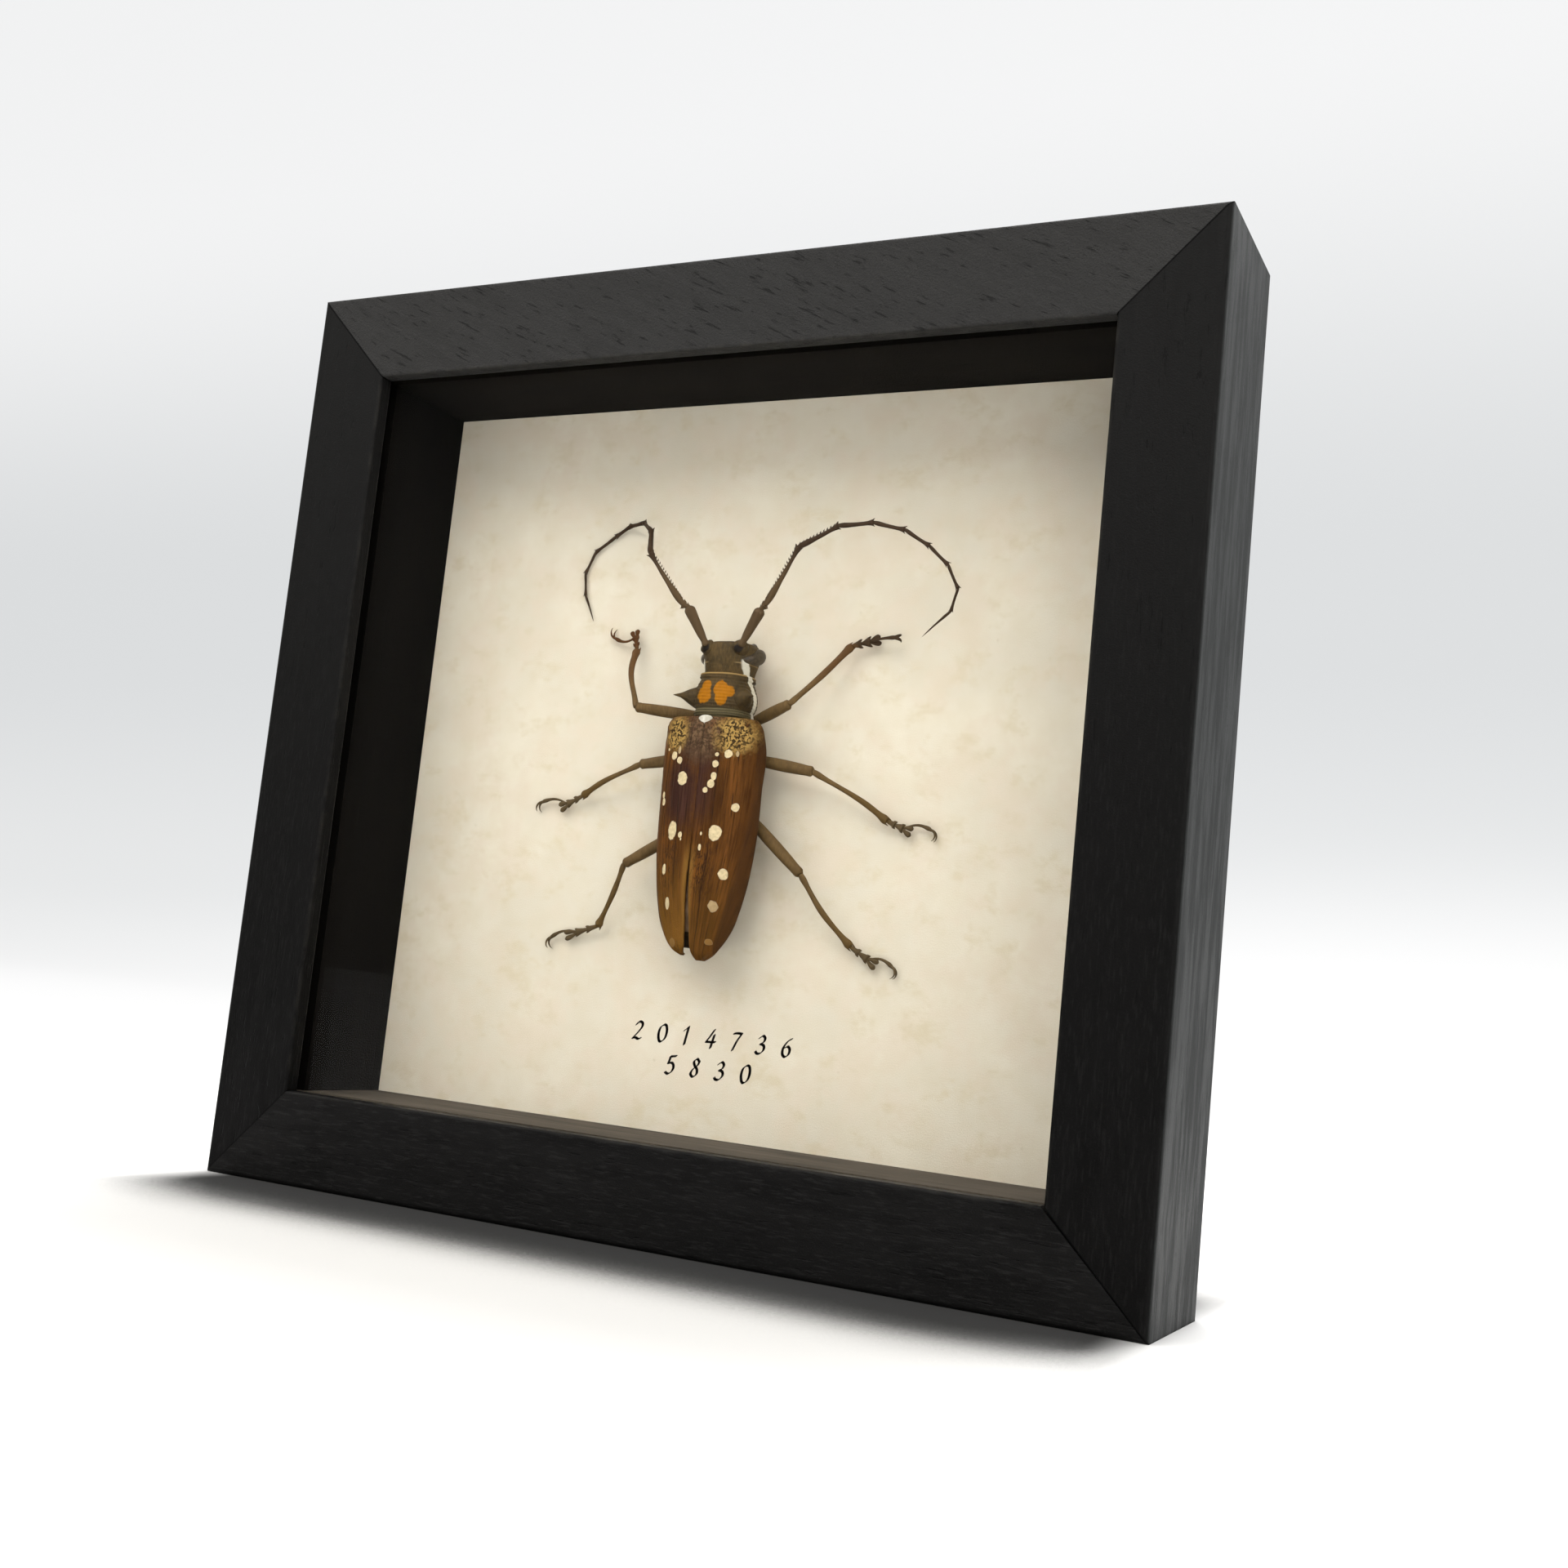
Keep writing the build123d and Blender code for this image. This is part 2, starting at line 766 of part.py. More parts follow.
leg_joints = {
    "front_leg_left": [
        (-2.6, 0.9, 3.0), (-16.1, 1.9, 8.0), (-20.7, 10.1, 3.5),
        (-21.1, 13.5, 1.8), (-22.2, 16.9, 1.4), (-27.4, 15.7, 0.9),
    ],
    "front_leg_right": [
        (4.0, 0.2, 3.0), (14.0, 2.8, 8.5), (17.7, 8.6, 4.6),
        (21.5, 14.3, 2.0), (26.1, 15.5, 1.2), (30.2, 15.8, 2.2),
    ],
    "middle_leg_left": [
        (-3.6, -5.6, 3.0), (-16.0, -7.7, 4.6), (-25.0, -11.2, 2.8),
        (-29.2, -13.4, 1.5), (-34.0, -15.7, 1.0), (-39.2, -14.8, 0.9),
    ],
    "middle_leg_right": [
        (3.6, -5.6, 3.0), (18.0, -7.9, 5.0), (27.4, -12.8, 2.6),
        (30.8, -15.2, 1.6), (34.9, -16.7, 1.0), (39.5, -16.2, 0.9),
    ],
    "hind_leg_left": [
        (-3.6, -17.0, 3.0), (-16.5, -25.5, 5.4), (-18.8, -29.9, 3.8),
        (-22.8, -36.5, 1.6), (-29.7, -38.7, 1.0), (-33.9, -39.5, 0.9),
    ],
    "hind_leg_right": [
        (3.6, -14.0, 3.0), (17.6, -25.2, 5.0), (21.3, -30.9, 3.4),
        (26.4, -36.3, 1.6), (30.9, -38.9, 1.0), (34.9, -39.2, 0.9),
    ],
}

# Which way each dried foot's claws curl: towards the head, the tail or the paper
headwards = Vector(0, 0, 1)
tailwards = Vector(0, 0, -1)
paperwards = Vector(0, 1, 0)
claw_curls = {
    "front_leg_left": headwards,
    "front_leg_right": paperwards,
    "middle_leg_left": tailwards,
    "middle_leg_right": tailwards,
    "hind_leg_left": tailwards,
    "hind_leg_right": tailwards,
}

# First two foot segments: place, counted in segments from the ankle, and share of the lobe radius
foot_stations = [(-0.15, 0.45), (0.8, 0.85), (1.0, 0.5), (1.75, 1.0), (2.0, 0.5)]
# Each lobe of the third segment, and the claw segment: share of the length and of the radius
lobe_stations = [(0.0, 0.35), (0.6, 0.65), (1.0, 0.5)]
lobe_root = 1.85
wrist_place = 0.2
claw_segment_stations = [(0.0, 0.8), (0.35, 0.8), (0.7, 0.95), (1.0, 1.0)]
claw_facets = 3


def claw_segment(wrist, end, curl):
    """Slim last segment of a foot, bowed away from the way in which its claws curl."""
    stations = []
    for share, girth in claw_segment_stations:
        bow = curl * (claw_segment_bow * math.sin(math.pi * share))
        stations.append((between(wrist, end, share) - bow, girth * claw_segment_radius))
    return limb(stations, fine_sides)


def claws(root, ahead, curl):
    """Two sharp hooks side by side, which start ahead and bend round into the curl."""
    beside = ahead.cross(curl)
    hooks = []
    for side in (-1, 1):
        stations = []
        for i in range(claw_facets + 1):
            share = i / claw_facets
            turn = math.radians(claw_bend_angle) * share
            forward = ahead * (claw_bend_radius * math.sin(turn))
            round_in = curl * (claw_bend_radius * (1 - math.cos(turn)))
            apart = beside * (side * claw_spread * share)
            stations.append((root + forward + round_in + apart, claw_radius * (1.0 - 0.8 * share)))
        hooks.append(limb(stations, fine_sides))
    return hooks


def foot(ankle, toe, tip, curl_towards):
    """Two lobed segments, a cleft third one, a slim claw segment and its claws."""
    segment = (toe - ankle) * (1 / 3)
    stations = [(ankle + segment * place, girth * lobe_radius) for place, girth in foot_stations]
    pieces = [limb(stations, limb_sides, lobe_flatness)]
    cleft = segment.cross(Vector(0, 1, 0)).normalized() * lobe_spread
    fork = ankle + segment * lobe_root
    for side in (-1, 1):
        end = toe + cleft * side
        stations = [(between(fork, end, share), girth * lobe_radius) for share, girth in lobe_stations]
        pieces.append(limb(stations, fine_sides, lobe_flatness))
    wrist = between(fork, toe, wrist_place)
    ahead = (tip - wrist).normalized()
    curl = (curl_towards - ahead * curl_towards.dot(ahead)).normalized()
    root = tip - ahead * claw_bend_radius
    pieces.append(claw_segment(wrist, root, curl))
    return pieces + claws(root - ahead * claw_segment_radius, ahead, curl)


def leg(name):
    """Thigh, shin and foot as one dried limb."""
    hip, knee, calf, ankle, toe, tip = [at(*place) for place in leg_joints[name]]
    girth = front_tibia_growth if name.startswith("front") else 1.0
    long_part = limb([
        (hip, femur_root_radius),
        (between(hip, knee, 0.5), femur_radius),
        (between(hip, knee, 0.93), femur_end_radius),
        (between(knee, calf, 0.14), girth * tibia_root_radius),
        (calf, girth * tibia_radius),
        (ankle, tibia_end_radius),
    ])
    return fused([long_part] + foot(ankle, toe, tip, claw_curls[name]))


# Assembly


def carve(solid, *cutters):
    """Solid with every cutter taken out, keeping its largest piece."""
    for cutter in cutters:
        solid = solid - cutter
    pieces = solid.solids().sort_by(SortBy.VOLUME)
    return pieces[-1]


def build():
    nodes = {}

    rails = frame_rails()
    nails = v_nails()
    screws = [button_screw(x, z) for x, z in button_places()]
    strap_screw = screw(
        hanger_screw_head_radius,
        hanger_screw_head_height,
        hanger_screw_radius,
        hanger_screw_depth + hanger_thickness,
        back_y + hanger_thickness,
    )
    hanger_screw = Pos(0, 0, hanger_top - hanger_screw_drop) * strap_screw
    rails["rail_bottom"] -= mitre_crack()
    for name, solid in rails.items():
        for cutter in nails + screws + [hanger_screw]:
            solid = solid - cutter
        nodes[name] = solid
    nodes["corner_v_nails"] = nails
    nodes["glass_pane"] = plate(glass_clearance, glass_y, glass_thickness)
    nodes.update(spacers())
    nodes["backing_paper"] = plate(board_clearance, paper_y, paper_thickness)
    nodes["backing_board"] = plate(board_clearance, board_y, board_thickness)
    for i, (x, z) in enumerate(button_places(), start=1):
        nodes[f"turn_button_{i}"] = turn_button(x, z)
    nodes["turn_button_screws"] = screws
    nodes["hanger_plate"] = hanger_plate() - hanger_screw
    nodes["hanger_screws"] = hanger_screw
    nodes["hanger_ring"] = hanger_ring()

    elytra = {-1: elytron(-1), 1: elytron(1)}
    shield = scutellum()
    head_shell = head()
    pronotum_shell = pronotum()
    breast = carve(thorax(), elytra[-1], elytra[1], shield)
    tail = abdomen()
    nodes["pronotum"] = pronotum_shell
    nodes["head"] = head_shell
    nodes["eyes"] = [carve(eye(side), head_shell, pronotum_shell) for side in (-1, 1)]
    nodes["mandibles"] = [carve(mandible(side), head_shell) for side in (-1, 1)]
    nodes["scutellum"] = carve(shield, pronotum_shell)
    nodes["elytron_left"] = carve(elytra[-1], shield)
    nodes["elytron_right"] = carve(elytra[1], shield)
    nodes["thorax"] = breast
    nodes["abdomen"] = tail
    nodes["hind_wings"] = carve(hind_wings(), tail)
    body = [pronotum_shell, breast, tail]
    nodes["glue_dabs"] = [carve(dab, *body) for dab in glue_dabs()]
    nodes["antenna_left"] = carve(antenna(-1), head_shell)
    nodes["antenna_right"] = carve(antenna(1), head_shell)
    for name in leg_joints:
        nodes[name] = carve(leg(name), *body, elytra[-1], elytra[1])
    return nodes


def main():
    os.makedirs("parts", exist_ok=True)
    for name, shape in build().items():
        solids = []
        for piece in shape if isinstance(shape, list) else [shape]:
            solids += piece.solids()
        export_step(Compound(children=solids) if len(solids) > 1 else solids[0], f"parts/{name}.step")


main()
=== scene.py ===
"""A dried longhorn beetle on cream paper, in a deep black-stained frame with glass.

All places are in the frame's own axes: +X to the viewer's right, +Y from the glass to the back, +Z up.
"""

import math

import bmesh
import bpy
import numpy as np
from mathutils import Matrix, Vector, noise


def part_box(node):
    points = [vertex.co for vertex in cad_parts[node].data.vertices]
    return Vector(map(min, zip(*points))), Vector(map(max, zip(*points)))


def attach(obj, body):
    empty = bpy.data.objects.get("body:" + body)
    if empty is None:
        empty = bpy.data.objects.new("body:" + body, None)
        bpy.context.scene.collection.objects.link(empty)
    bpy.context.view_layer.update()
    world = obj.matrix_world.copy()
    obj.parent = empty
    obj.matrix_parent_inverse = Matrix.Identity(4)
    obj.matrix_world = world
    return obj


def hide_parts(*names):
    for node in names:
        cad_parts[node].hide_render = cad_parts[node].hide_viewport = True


bl_info = {
    "name": "Framed beetle specimen",
    "version": (1, 0, 0),
    "blender": (4, 5, 0),
    "location": "3D View > Sidebar > Specimen",
    "description": "Finishes a framed beetle specimen: its case, shell, limbs, number caption and stage",
    "category": "Object",
}

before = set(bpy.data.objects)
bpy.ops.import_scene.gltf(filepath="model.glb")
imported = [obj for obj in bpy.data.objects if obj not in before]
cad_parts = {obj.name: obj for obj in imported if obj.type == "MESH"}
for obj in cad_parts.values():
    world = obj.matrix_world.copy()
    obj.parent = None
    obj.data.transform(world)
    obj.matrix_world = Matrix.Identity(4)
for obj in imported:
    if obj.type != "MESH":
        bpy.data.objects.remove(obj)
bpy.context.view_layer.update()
MM = 0.001


# Places read from the frame


def low(node):
    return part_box(node)[0]


def high(node):
    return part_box(node)[1]


PAPER_Y = low("backing_paper").y
SPECIMEN_X = (low("elytron_left").x + high("elytron_right").x) / 2
SPECIMEN_Z = high("elytron_right").z
FRAME_HALF_WIDTH = high("rail_right").x
FRAME_HALF_HEIGHT = high("rail_top").z / 2
FOREBODY_RIGHT = (low("pronotum").x + high("pronotum").x) / 2 - SPECIMEN_X


def at(u, v, h):
    """Place on the specimen in metres.

    In mm, u is right of its midline, v is forward of its wing cases' roots, and h is above the paper.
    """
    return np.array([SPECIMEN_X + u * MM, PAPER_Y - h * MM, SPECIMEN_Z + v * MM])


def fore(u, v, h):
    """Place on the head and pronotum, whose midline lies a little to the right of the wing cases'."""
    return at(u + FOREBODY_RIGHT / MM, v, h)


# Settings that a user would change


class SpecimenColours(bpy.types.PropertyGroup):
    """Colours of the frame, the paper and the beetle"""

    stain: bpy.props.FloatVectorProperty(
        name="Wood stain", description="Colour of the stained wood",
        subtype="COLOR", default=(0.0058, 0.0057, 0.0056),
    )
    paper: bpy.props.FloatVectorProperty(
        name="Paper", description="Colour of the mounting paper",
        subtype="COLOR", default=(0.87, 0.795, 0.65),
    )
    ink: bpy.props.FloatVectorProperty(
        name="Ink", description="Colour of the caption's ink",
        subtype="COLOR", default=(0.05, 0.03, 0.022),
    )
    shell: bpy.props.FloatVectorProperty(
        name="Wing case", description="Main brown of the wing cases",
        subtype="COLOR", default=(0.115, 0.043, 0.009),
    )
    bloom: bpy.props.FloatVectorProperty(
        name="Dark patch", description="Purple-brown patch on the wing cases",
        subtype="COLOR", default=(0.05, 0.021, 0.0145),
    )
    spot: bpy.props.FloatVectorProperty(
        name="Pale spots", description="Cream of the wing cases' spots",
        subtype="COLOR", default=(0.74, 0.6, 0.36),
    )
    gold: bpy.props.FloatVectorProperty(
        name="Gold hair", description="Gold between the shoulders' granules",
        subtype="COLOR", default=(0.44, 0.275, 0.08),
    )
    orange: bpy.props.FloatVectorProperty(
        name="Orange spots", description="Orange of the pronotum's spots",
        subtype="COLOR", default=(0.38, 0.14, 0.005),
    )
    body: bpy.props.FloatVectorProperty(
        name="Body", description="Grey-brown of the head and pronotum",
        subtype="COLOR", default=(0.05, 0.035, 0.017),
    )
    limb: bpy.props.FloatVectorProperty(
        name="Legs", description="Olive-brown of the legs",
        subtype="COLOR", default=(0.11, 0.066, 0.026),
    )
    antenna: bpy.props.FloatVectorProperty(
        name="Antennae", description="Dark brown of the antennae",
        subtype="COLOR", default=(0.058, 0.034, 0.019),
    )
    steel: bpy.props.FloatVectorProperty(
        name="Steel", description="Colour of the zinc-plated hardware",
        subtype="COLOR", default=(0.52, 0.53, 0.52),
    )


class SpecimenSizes(bpy.types.PropertyGroup):
    """Sizes of the finish that Blender adds"""

    grain_length: bpy.props.FloatProperty(
        name="Grain length", description="Length of the wood's pores",
        unit="LENGTH", default=0.009, min=0.001,
    )
    figure_height: bpy.props.FloatProperty(
        name="Figure height", description="Height of the caption's numbers",
        unit="LENGTH", default=0.0031, min=0.001,
    )
    nib_width: bpy.props.FloatProperty(
        name="Nib width", description="Width of the broad pen of the caption",
        unit="LENGTH", default=0.00052, min=0.0001,
    )
    granule_size: bpy.props.FloatProperty(
        name="Granule size", description="Radius of the shoulders' granules",
        unit="LENGTH", default=0.00022, min=0.00005,
    )


# Mesh helpers


def flow(knots, rows, samples):
    """Rows of numbers, known at rising knots, read at the samples along a smooth curve through them."""
    knots = np.asarray(knots, float)
    rows = np.asarray(rows, float)
    samples = np.asarray(samples, float)
    slopes = np.gradient(rows, knots, axis=0)
    i = np.clip(np.searchsorted(knots, samples, "right") - 1, 0, len(knots) - 2)
    span = (knots[i + 1] - knots[i])[:, None]
    t = (samples - knots[i])[:, None] / span
    return (
        (1 + 2 * t) * (1 - t) ** 2 * rows[i]
        + t * (1 - t) ** 2 * span * slopes[i]
        + t**2 * (3 - 2 * t) * rows[i + 1]
        + t**2 * (t - 1) * span * slopes[i + 1]
    )


def lengths(points):
    """Distance along a line of points, from its start to each point."""
    steps = np.linalg.norm(np.diff(points, axis=0), axis=1)
    return np.concatenate([[0.0], np.cumsum(steps)])


def grid_faces(rows, columns, around, start=0):
    """Four-sided faces of a grid of points; around joins the last column to the first."""
    faces = []
    for r in range(rows - 1):
        for c in range(columns if around else columns - 1):
            d = (c + 1) % columns
            a = start + r * columns
            faces.append((a + c, a + d, a + columns + d, a + columns + c))
    return faces


def tube_mesh(rings, start):
    """Points and faces of a closed skin through rings of points, with a point at the middle of each end."""
    rings = np.asarray(rings)
    rows, columns, _ = rings.shape
    points = list(rings.reshape(-1, 3))
    faces = grid_faces(rows, columns, True, start)
    for row, flip in ((0, True), (rows - 1, False)):
        hub = start + len(points)
        points.append(rings[row].mean(axis=0))
        first = start + row * columns
        for c in range(columns):
            edge = (first + c, first + (c + 1) % columns)
            faces.append((edge[1], edge[0], hub) if flip else (edge[0], edge[1], hub))
    return points, faces


def outward(mesh):
    """Turns every face of a closed mesh outwards."""
    work = bmesh.new()
    work.from_mesh(mesh)
    bmesh.ops.recalc_face_normals(work, faces=work.faces)
    work.to_mesh(mesh)
    work.free()


def new_piece(name, parts, material, node, smooth=True):
    """Mesh object in the case that stands for a CAD node, or adds to them where node is None."""
    mesh = bpy.data.meshes.new(name)
    mesh.from_pydata([tuple(p) for p in parts.points], [], parts.faces)
    mesh.validate()
    obj = bpy.data.objects.new(name, mesh)
    bpy.context.scene.collection.objects.link(obj)
    outward(mesh)
    if smooth:
        mesh.shade_smooth()
    mesh.materials.append(material)
    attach(obj, "case")
    if node:
        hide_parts(node)


class Parts:
    """Gathers skins into one mesh."""

    def __init__(self):
        self.points = []
        self.faces = []

    def add(self, rings):
        """Closed skin through rings of points."""
        points, faces = tube_mesh(rings, len(self.points))
        self.points += points
        self.faces += faces

    def add_mesh(self, points, faces):
        """Skin that is already made of faces."""
        start = len(self.points)
        self.points += list(points)
        self.faces += [tuple(start + i for i in face) for face in faces]


PAPERWARDS = np.array([0.0, 1.0, 0.0])
SIDEWAYS = np.array([1.0, 0.0, 0.0])


def unit(vector):
    return vector / np.linalg.norm(vector)


def frames_along(points):
    """Side and lift at each point of a line, with the lift kept away from the paper."""
    along = np.gradient(points, axis=0)
    along /= np.linalg.norm(along, axis=1)[:, None]
    side = np.cross(along, -PAPERWARDS)
    weak = np.linalg.norm(side, axis=1) < 0.05
    side[weak] = SIDEWAYS
    side /= np.linalg.norm(side, axis=1)[:, None]
    return side, np.cross(side, along)


def rod(points, radii, sides=16, flat=1.0):
    """Rings round a line of points; radii in metres, flat squeezes the height."""
    points = np.asarray(points)
    side, lift = frames_along(points)
    turns = np.linspace(0, 2 * math.pi, sides, endpoint=False)
    across = np.cos(turns)[None, :, None] * side[:, None, :]
    upward = flat * np.sin(turns)[None, :, None] * lift[:, None, :]
    return points[:, None, :] + radii[:, None, None] * (across + upward)


THINNEST = 0.00002


def profile_rod(start, end, stations, count=20, sides=16, flat=1.0, bow=None):
    """Rings of a straight or slightly bowed rod with a girth table: share of the length, radius in mm."""
    shares = np.linspace(0, 1, count)
    girths = flow([s for s, _ in stations], [[r] for _, r in stations], shares)[:, 0] * MM
    line = start[None, :] + shares[:, None] * (end - start)[None, :]
    if bow is not None:
        line = line + np.sin(np.pi * shares)[:, None] * np.asarray(bow)[None, :] * MM
    return rod(line, np.maximum(girths, THINNEST), sides, flat)


# Shader groups that several materials use


def group(name, inputs, outputs):
    """New shader node group with its named sockets, and short ways to reach inside it."""
    tree = bpy.data.node_groups.new(name, "ShaderNodeTree")
    for label, kind, value in inputs:
        socket = tree.interface.new_socket(label, in_out="INPUT", socket_type=kind)
        if value is not None:
            socket.default_value = value
    for label, kind in outputs:
        tree.interface.new_socket(label, in_out="OUTPUT", socket_type=kind)
    given = tree.nodes.new("NodeGroupInput").outputs
    out = tree.nodes.new("NodeGroupOutput").inputs
    return tree, Wiring(tree), given, out


class Wiring:
    """Short ways to add and join shader nodes."""

    def __init__(self, tree):
        self.tree = tree

    def add(self, kind, inputs=(), **fields):
        node = self.tree.nodes.new(kind)
        for key, value in fields.items():
            setattr(node, key, value)
        for key, value in dict(inputs).items():
            self.feed(node.inputs[key], value)
        return node

    def feed(self, socket, value):
        """Links a socket's value, or sets a plain one."""
        if isinstance(value, bpy.types.NodeSocket):
            self.tree.links.new(value, socket)
        else:
            socket.default_value = value

    def math(self, operation, a, b=0.0, clamp=False):
        return self.add("ShaderNodeMath", {0: a, 1: b}, operation=operation, use_clamp=clamp).outputs[0]

    def plus(self, a, b):
        return self.math("ADD", a, b)

    def minus(self, a, b):
        return self.math("SUBTRACT", a, b)

    def times(self, a, b):
        return self.math("MULTIPLY", a, b)

    def per(self, a, b, clamp=False):
        return self.math("DIVIDE", a, b, clamp)

    def most(self, a, b):
        return self.math("MAXIMUM", a, b)

    def size(self, a):
        return self.math("ABSOLUTE", a)

    def vector(self, operation, a, b):
        return self.add("ShaderNodeVectorMath", {0: a, 1: b}, operation=operation).outputs[0]

    def stretch(self, place, scale):
        return self.vector("MULTIPLY", place, scale)

    def dot(self, a, b):
        return self.add("ShaderNodeVectorMath", {0: a, 1: b}, operation="DOT_PRODUCT").outputs["Value"]

    def length(self, a):
        return self.add("ShaderNodeVectorMath", {0: a}, operation="LENGTH").outputs["Value"]

    def split(self, place):
        return self.add("ShaderNodeSeparateXYZ", {0: place}).outputs

    def join(self, x, y, z):
        return self.add("ShaderNodeCombineXYZ", {0: x, 1: y, 2: z}).outputs[0]

    def noise(self, place, scale, detail=3.0, roughness=0.5):
        """Noise from 0 to 1; scale is in waves per metre."""
        fields = {"Vector": place, "Scale": scale, "Detail": detail, "Roughness": roughness}
        return self.add("ShaderNodeTexNoise", fields).outputs[0]

    def ramp(self, value, low_edge, high_edge, low_value=0.0, high_value=1.0):
        """Smooth step from one value to another, held outside its two edges."""
        fields = {0: value, 1: low_edge, 2: high_edge, 3: low_value, 4: high_value}
        return self.add("ShaderNodeMapRange", fields, interpolation_type="SMOOTHSTEP").outputs[0]

    def mix(self, share, a, b):
        """Colour a where the share is 0, and colour b where it is 1."""
        return self.add("ShaderNodeMix", {0: share, 6: a, 7: b}, data_type="RGBA").outputs[2]

    def bump(self, height, strength, distance):
        fields = {"Height": height, "Strength": strength, "Distance": distance}
        return self.add("ShaderNodeBump", fields).outputs[0]


FLOAT = "NodeSocketFloat"
VECTOR = "NodeSocketVector"
PORE_WIDTH = 0.0011
EDGE_WEAR_RADIUS = 0.0007


def spot_group():
    """Mask of one soft-edged, slightly irregular oval spot."""
    inputs = [
        ("Place", VECTOR, None),
        ("Centre", VECTOR, None),
        ("Reach", VECTOR, (0.001, 1.0, 0.001)),
        ("Edge", FLOAT, 0.12),
    ]
    tree, w, given, out = group("Oval Spot", inputs, [("Mask", FLOAT)])
    apart = w.vector("SUBTRACT", given["Place"], given["Centre"])
    apart = w.vector("DIVIDE", apart, given["Reach"])
    distance = w.length(w.stretch(apart, (1.0, 0.0, 1.0)))
    wobble = w.times(w.minus(w.noise(given["Place"], 1400.0, 2.0), 0.5), 0.55)
    rim = w.plus(distance, wobble)
    w.feed(out["Mask"], w.per(w.minus(1.04, rim), given["Edge"], clamp=True))
    return tree


def grain_group():
    """Open-pored grain along the Z axis of the place it is given: tone of the stain, and pore depth."""
    tree, w, given, out = group(
        "Open Grain",
        [("Place", VECTOR, None), ("Length", FLOAT, 0.009), ("Roughness", FLOAT, 0.5)],
        [("Tone", FLOAT), ("Pores", FLOAT), ("Height", FLOAT)],
    )
    place = w.stretch(given["Place"], w.join(1.0, 1.0, w.per(PORE_WIDTH, given["Length"])))
    swirl = w.add("ShaderNodeTexNoise", {"Vector": place, "Scale": 60.0, "Detail": 2.0}).outputs["Color"]
    drift = w.stretch(w.vector("SUBTRACT", swirl, (0.5, 0.5, 0.5)), (0.004, 0.004, 0.001))
    place = w.vector("ADD", place, drift)
    bands = w.noise(place, 420.0, 4.0, 0.62)
    pores = w.ramp(w.noise(place, 1700.0, 3.0, 0.6), 0.6, 0.7)
    w.feed(out["Tone"], w.ramp(bands, 0.32, 0.68))
    w.feed(out["Pores"], w.times(pores, given["Roughness"]))
    w.feed(out["Height"], w.minus(w.times(bands, 0.6), w.times(pores, 0.5)))
    return tree


def mottle_group():
    """Slow and quick variation, for wood, paper, small pieces and plating."""
    tree, w, given, out = group(
        "Mottle",
        [("Place", VECTOR, None), ("Coarse", FLOAT, 60.0), ("Fine", FLOAT, 900.0)],
        [("Cloud", FLOAT), ("Grit", FLOAT)],
    )
    w.feed(out["Cloud"], w.ramp(w.noise(given["Place"], given["Coarse"], 4.0), 0.3, 0.7))
    w.feed(out["Grit"], w.noise(given["Place"], given["Fine"], 3.0))
    return tree


def wear_group():
    """Mask of worn edges: where a normal rounded over a small radius turns away from the surface's own."""
    tree, w, given, out = group(
        "Edge Wear",
        [("Place", VECTOR, None), ("Amount", FLOAT, 0.5)],
        [("Mask", FLOAT)],
    )
    rounded = w.add("ShaderNodeBevel", {"Radius": EDGE_WEAR_RADIUS}, samples=4).outputs[0]
    own = w.add("ShaderNodeNewGeometry").outputs["Normal"]
    edge = w.ramp(w.dot(rounded, own), 0.985, 0.9)
    broken = w.ramp(w.noise(given["Place"], 240.0, 4.0, 0.7), 0.36, 0.64)
    w.feed(out["Mask"], w.times(w.times(edge, broken), given["Amount"]))
    return tree


def hair_group():
    """Short lying hair: a fine streaky tone along Z."""
    tree, w, given, out = group(
        "Lying Hair",
        [("Place", VECTOR, None), ("Density", FLOAT, 2600.0)],
        [("Tone", FLOAT), ("Height", FLOAT)],
    )
    streaks = w.noise(w.stretch(given["Place"], (1.0, 1.0, 0.35)), given["Density"], 2.0)
    patches = w.noise(given["Place"], 420.0, 4.0, 0.6)
    tone = w.plus(w.ramp(streaks, 0.35, 0.7, 0.0, 0.5), w.ramp(patches, 0.35, 0.65, 0.0, 0.5))
    w.feed(out["Tone"], tone)
    w.feed(out["Height"], streaks)
    return tree


GROUPS = {}


def groups():
    """The shared node groups, made once."""
    if not GROUPS:
        for tree in (spot_group(), grain_group(), mottle_group(), wear_group(), hair_group()):
            GROUPS[tree.name] = tree
    return GROUPS


